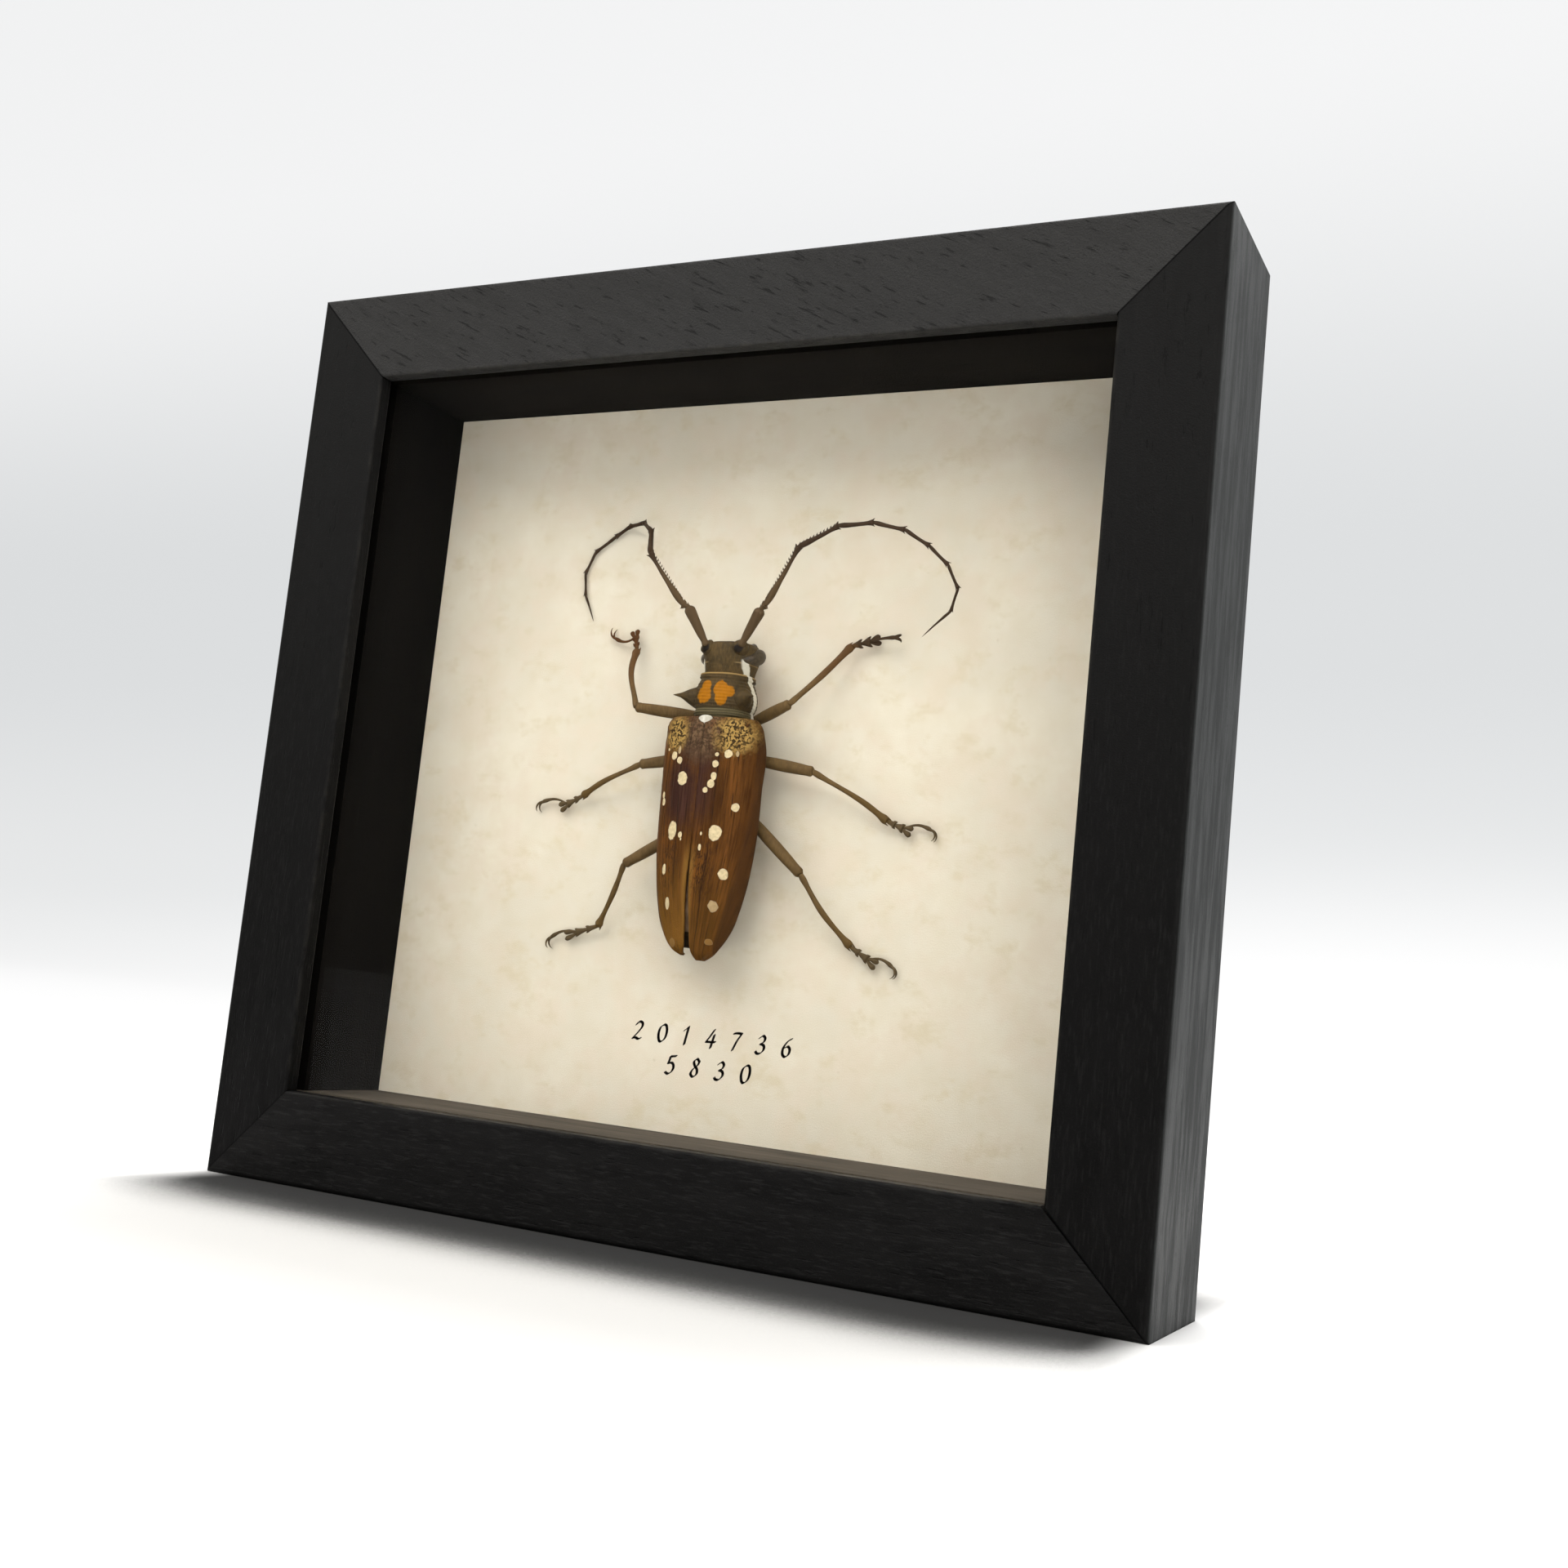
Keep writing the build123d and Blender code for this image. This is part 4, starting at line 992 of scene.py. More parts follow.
class SPECIMEN_OT_hardware(bpy.types.Operator):
    """Finish the turn buttons, screws, ring hanger and corner wedges"""

    bl_idname = "specimen.hardware"
    bl_label = "Back hardware"

    def execute(self, context):
        steel = steel_finish()
        for node in ("turn_button_1", "turn_button_2", "turn_button_3", "turn_button_4", "hanger_plate"):
            dress(node, steel, bevel=0.00018)
        for node in ("turn_button_screws", "hanger_screws", "corner_v_nails"):
            dress(node, steel, bevel=0.00008)
        dress("hanger_ring", steel, bevel=0.0005, segments=4)
        return {"FINISHED"}


# Number caption, written with a broad pen

# Middle line of each figure's strokes, on a grid as high as the figure
FIGURE_STROKES = {
    "0": [
        [(0.30, 0.98), (0.10, 0.80), (0.06, 0.42), (0.18, 0.08), (0.34, 0.02), (0.52, 0.22), (0.55, 0.60),
         (0.44, 0.92), (0.28, 0.98)],
    ],
    "1": [
        [(0.08, 0.78), (0.20, 0.88), (0.30, 1.0)],
        [(0.30, 1.0), (0.28, 0.5), (0.26, 0.0)],
    ],
    "2": [
        [(0.08, 0.80), (0.22, 0.98), (0.44, 0.92), (0.46, 0.68), (0.26, 0.34), (0.04, 0.03)],
        [(0.04, 0.03), (0.22, 0.07), (0.38, 0.01), (0.54, 0.07)],
    ],
    "3": [
        [(0.10, 0.84), (0.28, 0.98), (0.44, 0.84), (0.38, 0.62), (0.22, 0.53)],
        [(0.22, 0.53), (0.44, 0.46), (0.50, 0.24), (0.34, 0.02), (0.14, 0.0), (0.03, 0.1)],
    ],
    "4": [
        [(0.38, 1.0), (0.20, 0.62), (0.02, 0.30)],
        [(0.02, 0.30), (0.30, 0.31), (0.58, 0.33)],
        [(0.44, 0.72), (0.40, 0.30), (0.37, -0.02)],
    ],
    "5": [
        [(0.16, 0.96), (0.14, 0.76), (0.10, 0.56)],
        [(0.10, 0.56), (0.34, 0.60), (0.48, 0.40), (0.44, 0.14), (0.24, -0.02), (0.03, 0.06)],
        [(0.16, 0.95), (0.32, 0.97), (0.50, 1.0)],
    ],
    "6": [
        [(0.46, 0.98), (0.26, 0.84), (0.08, 0.48), (0.10, 0.14), (0.28, -0.01), (0.46, 0.12), (0.48, 0.40),
         (0.32, 0.56), (0.12, 0.44)],
    ],
    "7": [
        [(0.06, 0.92), (0.28, 0.96), (0.54, 0.95)],
        [(0.54, 0.95), (0.34, 0.55), (0.18, 0.0)],
    ],
    "8": [
        [(0.44, 0.86), (0.28, 0.99), (0.13, 0.84), (0.20, 0.64), (0.42, 0.40), (0.44, 0.14), (0.26, -0.01),
         (0.08, 0.14), (0.16, 0.40), (0.38, 0.62), (0.46, 0.84)],
    ],
}
# Width and lean as shares of the figure's height, and the pen's thin strokes as a share of its nib
FIGURE_WIDTH = 0.66
FIGURE_LEAN = 0.16
NIB_ANGLE = math.radians(38)
HAIRLINE = 0.13
STEPS_PER_POINT = 10
INK_THICKNESS = 0.00002
INK_GAP = 0.000005
# Figures, height of their feet, and left and right end of the line, in mm
CAPTION_LINES = (("2 0 1 4 7 3 6", 31.2, -15.5, 15.9), ("5 8 3 0", 26.0, -8.3, 8.6))


def stroke_ribbon(points, nib, thickness, y):
    """Flat, closed ribbon that a broad nib leaves along a line of points in X and Z."""
    points = np.asarray(points)
    knots = np.arange(len(points))
    samples = np.linspace(0, len(points) - 1, STEPS_PER_POINT * (len(points) - 1) + 1)
    line = flow(knots, points, samples)
    half = np.array([math.cos(NIB_ANGLE), math.sin(NIB_ANGLE)]) * nib / 2
    hair = np.array([-math.sin(NIB_ANGLE), math.cos(NIB_ANGLE)]) * nib * HAIRLINE
    rings = []
    for x, z in line:
        ring = []
        for corner in (half + hair, -half + hair, -half - hair, half - hair):
            ring.append((x + corner[0], z + corner[1]))
        rings.append(ring)
    return hull_chain(rings, y, thickness)


def hull_chain(rings, y, thickness):
    """Closed plates: one for each step of the pen, from the convex outline of two nib prints."""
    points, faces = [], []
    for before, after in zip(rings, rings[1:]):
        outline = convex_outline(before + after)
        start = len(points)
        count = len(outline)
        for x, z in outline:
            points.append((x, y, z))
        for x, z in outline:
            points.append((x, y - thickness, z))
        faces.append(tuple(range(start, start + count)))
        faces.append(tuple(range(start + 2 * count - 1, start + count - 1, -1)))
        for i in range(count):
            j = (i + 1) % count
            faces.append((start + i, start + j, start + count + j, start + count + i))
    return points, faces


def convex_outline(points):
    """Corners of the convex outline of some points, in order."""
    points = sorted(set((round(x, 8), round(z, 8)) for x, z in points))

    def half(sequence):
        chain = []
        for p in sequence:
            while len(chain) > 1 and turn(chain[-2], chain[-1], p) <= 0:
                chain.pop()
            chain.append(p)
        return chain[:-1]

    return half(points) + half(points[::-1])


def turn(a, b, c):
    """Above zero where the way from a by b to c turns left."""
    return (b[0] - a[0]) * (c[1] - a[1]) - (b[1] - a[1]) * (c[0] - a[0])


class SPECIMEN_OT_caption(bpy.types.Operator):
    """Write two lines of plain numbers on the paper with a broad pen"""

    bl_idname = "specimen.caption"
    bl_label = "Number caption"

    def execute(self, context):
        parts = Parts()
        height = sizes().figure_height
        nib = sizes().nib_width
        for text, base_z, start_x, end_x in CAPTION_LINES:
            step = (end_x - start_x) * MM / len(text)
            for place, figure in enumerate(text):
                if figure == " ":
                    continue
                x = start_x * MM + place * step + step / 2 - FIGURE_WIDTH * height / 2
                for stroke in FIGURE_STROKES[figure]:
                    line = [(x + (a + FIGURE_LEAN * b) * height, base_z * MM + b * height) for a, b in stroke]
                    parts.add_mesh(*stroke_ribbon(line, nib, INK_THICKNESS, PAPER_Y - INK_GAP))
        ink = ink_finish()
        new_piece("number_caption", parts, ink, None, smooth=False)
        return {"FINISHED"}


# Wing cases

# Share of the length, of the half width and of the rise, and how far the margin lifts in mm
WING_CASE_STATIONS = [
    (0.0, 0.86, 0.9, 1.6),
    (0.02, 0.93, 0.96, 1.4),
    (0.08, 0.99, 1.0, 0.6),
    (0.3, 1.0, 1.0, 0.2),
    (0.46, 0.99, 1.0, 0.0),
    (0.58, 0.955, 1.0, 0.0),
    (0.69, 0.89, 0.99, 0.0),
    (0.78, 0.815, 0.9, 0.2),
    (0.87, 0.7, 0.76, 0.4),
    (0.94, 0.52, 0.66, 0.6),
    (0.98, 0.37, 0.55, 0.7),
    (1.0, 0.24, 0.4, 0.8),
]
WING_LENGTH = (high("elytron_right").z - low("elytron_right").z) / MM
WING_HALF_WIDTH = (high("elytron_right").x - SPECIMEN_X) / MM
WING_MARGIN = 5.9
WING_RISE = 5.8
WING_WALL = 0.6
WING_SQUARENESS = 2.3
# Gap beside the suture in mm: at the roots, added from a share of the length on, and added at the very tip
ROOT_GAPE = 0.04
REAR_GAPE, REAR_GAPE_FROM = 0.65, 0.49
TIP_GAPE, TIP_GAPE_FROM = 0.7, 0.93
WING_ROWS, WING_COLUMNS = 190, 72
# Relief of the outer face in mm
RIB_HEIGHT = 0.035
CREASE_HEIGHT = 0.05
PIT_DEPTH = 0.03
GRANULE_HEIGHT = 0.12
GRANULAR_SHARE = 0.16
# The left wing case's torn tip: rows of the grid that shrink, how far in mm, and how unevenly
TORN_ROWS = 12
TORN_LENGTH, TORN_UNEVENNESS = 0.9, 0.5


def wing_surface(side, shares, angles, inset=0.0):
    """Grid of points of a wing case's outer face, or of its inner face where inset is its wall in mm."""
    stations = flow([s[0] for s in WING_CASE_STATIONS], [s[1:] for s in WING_CASE_STATIONS], shares)
    gape = ROOT_GAPE + REAR_GAPE * np.maximum(0, shares - REAR_GAPE_FROM) / (1 - REAR_GAPE_FROM)
    gape = gape + TIP_GAPE * (np.maximum(0, shares - TIP_GAPE_FROM) / (1 - TIP_GAPE_FROM)) ** 2
    grid = np.zeros((len(shares), len(angles), 3))
    rounded = 2 / WING_SQUARENESS
    for r, share in enumerate(shares):
        width, rise, lift = stations[r]
        outer = width * WING_HALF_WIDTH - inset
        top = WING_MARGIN + rise * WING_RISE - inset
        margin = WING_MARGIN + lift
        sine = np.sin(angles) ** rounded
        cosine = np.abs(np.cos(angles)) ** rounded
        u = gape[r] + (outer - gape[r]) * sine
        h = margin + (top - margin) * cosine
        for c in range(len(angles)):
            grid[r, c] = at(side * u[c], -share * WING_LENGTH, h[c])
    return grid


def wing_case(side):
    """Closed, crowned shell with fine ribs, pits and shoulder granules raised on its outer face."""
    rows, columns = WING_ROWS, WING_COLUMNS
    shares = np.linspace(0, 1, rows)
    angles = np.linspace(0, math.pi / 2, columns)
    outer = wing_surface(side, shares, angles)
    inner = wing_surface(side, shares, angles, WING_WALL)
    across = np.gradient(outer, axis=1)
    along = np.gradient(outer, axis=0)
    normal = np.cross(along, across)
    normal /= np.maximum(np.linalg.norm(normal, axis=2), 1e-12)[..., None]
    middle = inner.mean(axis=(0, 1))
    if np.sum(normal[rows // 2, columns // 2] * (outer[rows // 2, columns // 2] - middle)) < 0:
        normal = -normal
    for r in range(2, rows - 2):
        for c in range(1, columns - 1):
            p = Vector(outer[r, c])
            rib = RIB_HEIGHT * math.sin(9.0 * angles[c] + 0.6)
            creases = CREASE_HEIGHT * noise.noise(Vector((p.x * 900, p.y * 900, p.z * 160)))
            pits = PIT_DEPTH * noise.noise(p * 2400)
            lump = 0.0
            shoulder = max(0.0, 1 - shares[r] / GRANULAR_SHARE) * min(1.0, angles[c] / 0.4)
            if shoulder > 0:
                near = noise.voronoi(p / (2.6 * sizes().granule_size))[0][0]
                lump = GRANULE_HEIGHT * shoulder * max(0.0, 1 - near / 0.55)
            outer[r, c] += normal[r, c] * (rib + creases + pits + lump) * MM
    if side < 0:
        tear_tip(outer)
        tear_tip(inner)
    points = list(outer.reshape(-1, 3)) + list(inner.reshape(-1, 3))
    faces = grid_faces(rows, columns, False)
    start = rows * columns
    faces += [tuple(reversed(face)) for face in grid_faces(rows, columns, False, start)]
    rim = [(r, columns - 1) for r in range(rows)] + [(rows - 1, c) for c in range(columns - 2, -1, -1)]
    rim += [(r, 0) for r in range(rows - 2, -1, -1)] + [(0, c) for c in range(1, columns)]
    for (r1, c1), (r2, c2) in zip(rim, rim[1:]):
        a, b = r1 * columns + c1, r2 * columns + c2
        faces.append((a, b, start + b, start + a))
    return points, faces


def tear_tip(grid):
    """Breaks the last millimetre of a wing case into a ragged edge."""
    rows = grid.shape[0]
    for c in range(grid.shape[1]):
        uneven = noise.noise(Vector((c * 0.31, 4.0, 0.0)))
        short = (TORN_LENGTH + TORN_UNEVENNESS * uneven) * MM
        for step in range(TORN_ROWS):
            grid[rows - TORN_ROWS + step, c, 2] += short * (step / (TORN_ROWS - 1))


SHIELD_SIDES = 28
# Share of the height and girth of the small white shield's rings
SHIELD_STATIONS = ((0.0, 0.8), (0.35, 1.0), (0.75, 0.97), (0.93, 0.85), (1.0, 0.6))


def shield_rings(lower, upper):
    """Rings of a rounded triangle that points to the tail, within a box."""
    half_width = (upper.x - lower.x) / 2
    half_length = (upper.z - lower.z) / 2
    rings = []
    for share, girth in SHIELD_STATIONS:
        ring = []
        for i in range(SHIELD_SIDES):
            t = 2 * math.pi * i / SHIELD_SIDES
            u = half_width * girth * math.cos(t)
            v = half_length * girth * math.sin(t)
            if v < 0:
                u *= 1 - 0.72 * (abs(v) / half_length) ** 1.2
            else:
                v *= 0.6
            y = upper.y + share * (lower.y - upper.y)
            ring.append(((lower.x + upper.x) / 2 + u, y, (lower.z + upper.z) / 2 + v))
        rings.append(ring)
    return rings


class SPECIMEN_OT_wing_cases(bpy.types.Operator):
    """Make the two spotted wing cases and the small white shield between their roots"""

    bl_idname = "specimen.wing_cases"
    bl_label = "Wing cases"

    def execute(self, context):
        for side, node in ((-1, "elytron_left"), (1, "elytron_right")):
            shell = Parts()
            shell.add_mesh(*wing_case(side))
            new_piece(node.replace("elytron", "wing_case"), shell, shell_finish(side), node)
        white = plain_finish(
            "White shield hair", (0.55, 0.5, 0.4), (0.82, 0.79, 0.7), 0.8,
            coarse=900.0, fine=6000.0, relief=0.6,
        )
        shield = Parts()
        shield.add(shield_rings(*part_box("scutellum")))
        new_piece("scutellum_shield", shield, white, "scutellum")
        return {"FINISHED"}


# Head and pronotum


def squared(value, squareness):
    """Sine or cosine of a rounded box's outline."""
    return math.copysign(abs(value) ** (2 / squareness), value)


def body_rings(place, stations, count, sides, square=2.5, waves=None):
    """Rings of a rounded-box body: stations rise in v, with half width, low and high, in mm."""
    vs = np.linspace(stations[0][0], stations[-1][0], count)
    rows = flow([s[0] for s in stations], [s[1:] for s in stations], vs)
    turns = np.linspace(0, 2 * math.pi, sides, endpoint=False)
    rings = []
    for v, (half_width, low_h, high_h) in zip(vs, rows):
        middle = (low_h + high_h) / 2
        ring = []
        for t in turns:
            u = half_width * squared(math.cos(t), square)
            h = middle + (high_h - middle) * squared(math.sin(t), square)
            swell = waves(v, t) if waves else 0.0
            ring.append(place(u * (1 + swell), v, middle + (h - middle) * (1 + swell)))
        rings.append(ring)
    return rings


PRONOTUM_STATIONS = [
    (0.0, 4.7, 1.9, 10.6), (0.5, 5.05, 1.6, 10.9), (1.0, 5.1, 1.6, 11.0), (1.5, 4.85, 1.7, 10.85),
    (2.2, 5.2, 1.5, 11.1), (3.9, 5.4, 1.3, 11.2), (5.6, 4.95, 1.6, 10.9), (6.4, 4.62, 1.8, 10.65),
    (6.75, 4.5, 1.9, 10.5), (7.15, 4.72, 1.8, 10.6), (7.8, 4.6, 1.9, 10.5),
]
HEAD_STATIONS = [
    (7.5, 4.1, 2.2, 9.3), (9.0, 4.45, 2.0, 9.5), (10.5, 4.8, 1.7, 9.75), (12.0, 4.85, 1.6, 9.8),
    (13.0, 4.5, 1.8, 9.6), (13.45, 4.0, 2.2, 9.2), (13.6, 3.3, 3.0, 8.6),
]


def pronotum_wrinkles(v, t):
    """Cross wrinkles near the collar and the rear, and a shallow groove along the top."""
    top = max(0.0, math.sin(t))
    wrinkle = 0.011 * math.sin(v * 11.0 + 1.4 * math.sin(2 * t)) * (0.35 + 0.65 * abs(v - 3.9) / 3.9)
    groove = -0.02 * math.exp(-((math.cos(t) / 0.16) ** 2)) * top
    coarse = 0.012 * noise.noise(Vector((v * 1.1, math.cos(t) * 3.0, math.sin(t) * 3.0)))
    return wrinkle + groove + coarse


def head_relief(v, t):
    """Groove between the antennae and fine pits."""
    top = max(0.0, math.sin(t))
    groove = -0.05 * math.exp(-((math.cos(t) / 0.1) ** 2)) * top * min(1.0, max(0.0, (v - 9.5) / 3))
    return groove + 0.01 * noise.noise(Vector((v * 2.0, math.cos(t) * 6.0, math.sin(t) * 6.0)))


def tapered_rings(places, knots, radii, count, sides):
    """Rings of a horn through places at rising knots; radii are pairs of a knot and mm."""
    samples = np.linspace(0, knots[-1], count)
    line = flow(knots, places, samples)
    girth = flow([knot for knot, _ in radii], [[radius] for _, radius in radii], samples)[:, 0]
    return rod(line, girth * MM, sides)


def spine_rings(side):
    """Spine of the pronotum, pointing sideways."""
    places = [fore(side * 4.1, 3.67, 8.3), fore(side * 6.4, 3.75, 9.9), fore(side * 7.75, 3.67, 10.9)]
    radii = [(0, 2.15), (0.3, 1.35), (0.6, 0.5), (0.85, 0.2), (1.0, 0.05)]
    return tapered_rings(places, [0, 0.55, 1.0], radii, count=18, sides=20)


# Middle line of the right eye, with its radius: right of the midline, forward, above the paper, in mm
EYE_PATH = [
    (3.2, 10.4, 8.4, 0.3), (3.7, 10.5, 7.9, 0.7), (4.2, 10.7, 7.1, 0.95), (4.5, 11.0, 6.0, 1.25),
    (4.55, 11.6, 4.8, 1.4), (4.4, 12.2, 3.9, 1.0), (4.2, 12.4, 3.5, 0.3),
]
EYE_RINGS = 40
EYE_END_RADIUS = 0.05


def eye_rings(side):
    """Kidney-shaped eye that wraps from behind the antenna's socket round to the cheek."""
    knots = np.linspace(0, 1, len(EYE_PATH))
    rows = flow(knots, EYE_PATH, np.linspace(0, 1, EYE_RINGS))
    line = np.array([fore(side * u, v, h) for u, v, h, _ in rows])
    return rod(line, np.maximum(rows[:, 3], EYE_END_RADIUS) * MM, sides=24)


def boss_rings(side):
    """Raised socket that an antenna grows from."""
    foot = fore(side * 2.5, 11.5, 6.8)
    mouth = fore(side * 3.3, 12.7, 9.35)
    stations = [(0.0, 1.9), (0.5, 1.5), (0.85, 1.32), (0.96, 1.25), (1.0, 0.95)]
    return profile_rod(foot, mouth, stations, count=14, sides=24)


def mandible_rings(side):
    """Curved jaw below the face."""
    places = [
        fore(side * 2.0, 12.2, 3.0), fore(side * 2.1, 13.8, 2.1),
        fore(side * 1.2, 14.15, 1.3), fore(side * 0.25, 14.05, 0.85),
    ]
    radii = [(0, 0.9), (1, 0.7), (2, 0.42), (3, 0.08)]
    return tapered_rings(places, [0, 1, 2, 3], radii, count=22, sides=16)


class SPECIMEN_OT_forebody(bpy.types.Operator):
    """Make the head with its eyes and jaws, and the spined pronotum with its orange spots"""

    bl_idname = "specimen.forebody"
    bl_label = "Head and pronotum"

    def execute(self, context):
        body = colours().body
        shield = Parts()
        shield.add(
            body_rings(fore, PRONOTUM_STATIONS, count=90, sides=96, square=2.3, waves=pronotum_wrinkles)
        )
        for side in (-1, 1):
            shield.add(spine_rings(side))
        skin = body_finish("Pronotum shell", body, grey=(0.14, 0.085, 0.03), extra=pronotum_marks)
        new_piece("pronotum_shield", shield, skin, "pronotum")
        face = Parts()
        face.add(body_rings(fore, HEAD_STATIONS, count=60, sides=80, square=2.4, waves=head_relief))
        for side in (-1, 1):
            face.add(boss_rings(side))
        scalp = body_finish("Head shell", body, grey=(0.18, 0.112, 0.04), extra=head_marks)
        new_piece("head_capsule", face, scalp, "head")
        eyes, jaws = Parts(), Parts()
        for side in (-1, 1):
            eyes.add(eye_rings(side))
            jaws.add(mandible_rings(side))
        glossy = plain_finish(
            "Eye", (0.028, 0.019, 0.009), (0.075, 0.05, 0.024), 0.42,
            coarse=2600.0, fine=7000.0, relief=0.25,
        )
        new_piece("eye_pair", eyes, glossy, "eyes")
        horn = plain_finish("Jaw horn", (0.012, 0.009, 0.008), (0.03, 0.02, 0.015), 0.3)
        new_piece("mandible_pair", jaws, horn, "mandibles")
        return {"FINISHED"}


# Underside

# Stations: forward of the wing cases' roots, half width, lowest and highest height, in mm
CHEST_STATIONS = [
    (-12.5, 7.9, 1.2, 9.7), (-9.0, 8.15, 1.1, 9.8), (-6.0, 8.1, 1.1, 9.8), (-3.5, 7.6, 1.15, 9.6),
    (-1.2, 6.9, 1.2, 9.3), (-0.1, 5.1, 1.7, 8.8),
]
BELLY_STATIONS = [
    (-39.0, 2.7, 2.4, 7.4), (-36.0, 4.2, 2.1, 8.0), (-31.5, 5.6, 1.8, 8.8), (-25.0, 6.8, 1.5, 9.5),
    (-18.0, 7.3, 1.4, 9.8), (-12.45, 7.4, 1.4, 9.9),
]
FOLD_STATIONS = [
    (-36.4, 2.1, 6.9, 8.8), (-33.0, 2.4, 7.4, 9.9), (-29.0, 2.7, 8.0, 10.4), (-24.0, 2.9, 8.6, 10.5),
    (-16.0, 3.2, 9.2, 10.7), (-13.8, 3.3, 9.3, 10.7),
]
BELLY_FRONT = -12.5
PLATE_LENGTH = 5.0
PLATE_SWELL = 0.03
# Drops of glue: forward of the roots and height in mm, and share of that height with radius in mm
GLUE_PLACES = ((3.9, 1.9), (-4.375, 1.5), (-20.0, 1.8))
GLUE_PROFILE = [(0, 2.6), (0.4, 2.5), (0.8, 2.2), (1, 1.95)]


def ringed(v, t):
    """Overlapping belly plates."""
    step = ((BELLY_FRONT - v) / PLATE_LENGTH) % 1.0
    return PLATE_SWELL * step**3


def wing_folds(v, t):
    """Lengthwise pleats of the folded hind wings."""
    return 0.05 * math.sin(7 * math.cos(t) + 0.3 * v) * max(0.0, math.sin(t))


class SPECIMEN_OT_underside(bpy.types.Operator):
    """Make the thorax, the plated abdomen, the folded hind wings and the glue under the body"""

    bl_idname = "specimen.underside"
    bl_label = "Underside"

    def execute(self, context):
        body = colours().body
        dark = body_finish("Underside shell", body, grey=(0.09, 0.075, 0.055), hairy=0.7)
        chest = Parts()
        chest.add(body_rings(at, CHEST_STATIONS, count=50, sides=64))
        new_piece("thorax_shell", chest, dark, "thorax")
        belly = Parts()
        belly.add(body_rings(at, BELLY_STATIONS, count=110, sides=64, square=2.3, waves=ringed))
        new_piece("abdomen_shell", belly, dark, "abdomen")
        wings = Parts()
        wings.add(body_rings(at, FOLD_STATIONS, count=90, sides=60, square=3.0, waves=wing_folds))
        film = plain_finish(
            "Folded membrane", (0.17, 0.1, 0.05), (0.34, 0.22, 0.13), 0.45,
            coarse=500.0, fine=2600.0, relief=0.5,
        )
        new_piece("hind_wing_folds", wings, film, "hind_wings")
        drops = Parts()
        for v, top in GLUE_PLACES:
            drops.add(profile_rod(at(0, v, 0.0), at(0, v, top), GLUE_PROFILE, count=10, sides=36))
        amber = plain_finish(
            "Dried glue", (0.5, 0.36, 0.16), (0.66, 0.5, 0.26), 0.2,
            coarse=200.0, fine=900.0, relief=0.1, Coat_Weight=0.4,
        )
        new_piece("glue_drops", drops, amber, "glue_dabs")
        return {"FINISHED"}


# Antennae

# Joints after the socket, out from the midline, forward and above the paper, in mm
ANTENNA_JOINTS = {
    -1: [
        (6.2, 19.1, 10.5), (7.3, 19.6, 10.7), (14.2, 28.5, 12.0), (17.7, 34.1, 7.0), (21.9, 36.8, 3.0),
        (26.2, 36.8, 0.9), (29.2, 35.0, 0.6), (33.2, 32.2, 0.6), (35.0, 28.2, 0.5), (34.4, 24.0, 0.5),
        (32.1, 19.2, 0.4),
    ],
    1: [
        (7.9, 18.6, 10.5), (8.8, 19.3, 10.8), (14.4, 29.1, 11.5), (21.4, 32.5, 11.5), (27.5, 33.0, 11.0),
        (32.9, 31.8, 10.3), (37.1, 29.2, 9.5), (40.3, 26.2, 8.7), (42.1, 22.4, 8.0), (41.0, 18.8, 7.5),
        (36.2, 14.7, 7.0),
    ],
}
# Share of the length and radius in mm of the thick first segment
SCAPE = [
    (0.0, 0.55), (0.06, 0.7), (0.12, 0.6), (0.3, 0.72), (0.7, 0.9), (0.86, 0.98), (0.95, 0.94), (1.0, 0.66),
]
SMALL_TOOTH = [(0, 0.15), (0.5, 0.1), (1, 0.02)]
# Radius of the second segment and of the last; this and the lengths below are in mm
FIRST_RADIUS, LAST_RADIUS = 0.5, 0.2
TOOTH_SPACING = 0.62
TOOTHED_ABOVE_RADIUS = 0.4
SEGMENT_OVERLAP = 0.25


def antenna_segment(parts, start, end, radius, last, inner):
    """One segment: narrow root, slim shaft, and a swollen, toothed end unless it is the last.

    The thick ones have small teeth along their inner side too.
    """
    length = np.linalg.norm(end - start) / MM
    along = unit(end - start)
    if last:
        profile = [(0.0, 0.8), (0.06, 1.0), (0.5, 0.8), (0.85, 0.42), (1.0, 0.12)]
    else:
        knob = min(0.9, 0.3 * length) / length
        profile = [
            (0.0, 0.66), (0.3 * knob, 0.84), (0.5, 0.9), (1 - knob, 1.0),
            (1 - 0.35 * knob, 1.25), (1 - 0.08 * knob, 1.1), (1.0, 0.66),
        ]
        for spur in (-1, 1):
            root = end - along * 0.35 * MM + inner * (spur * 0.85 * radius * MM)
            tip = end + along * 0.1 * MM + inner * (spur * 1.75 * radius * MM)
            tooth = [(0, 0.5 * radius), (0.5, 0.28 * radius), (1, 0.05)]
            parts.add(profile_rod(root, tip, tooth, count=6, sides=8))
    stations = [(share, girth * radius) for share, girth in profile]
    bow = inner * (-0.012 * length)
    parts.add(profile_rod(start, end, stations, count=26, sides=16, flat=0.9, bow=bow))
    if radius > TOOTHED_ABOVE_RADIUS:
        count = int(length / TOOTH_SPACING)
        for i in range(count):
            root = start + (end - start) * (i + 0.7) / count + inner * (0.75 * radius * MM)
            tip = root + (inner * 0.34 + along * 0.3) * MM
            parts.add(profile_rod(root, tip, SMALL_TOOTH, count=4, sides=6))


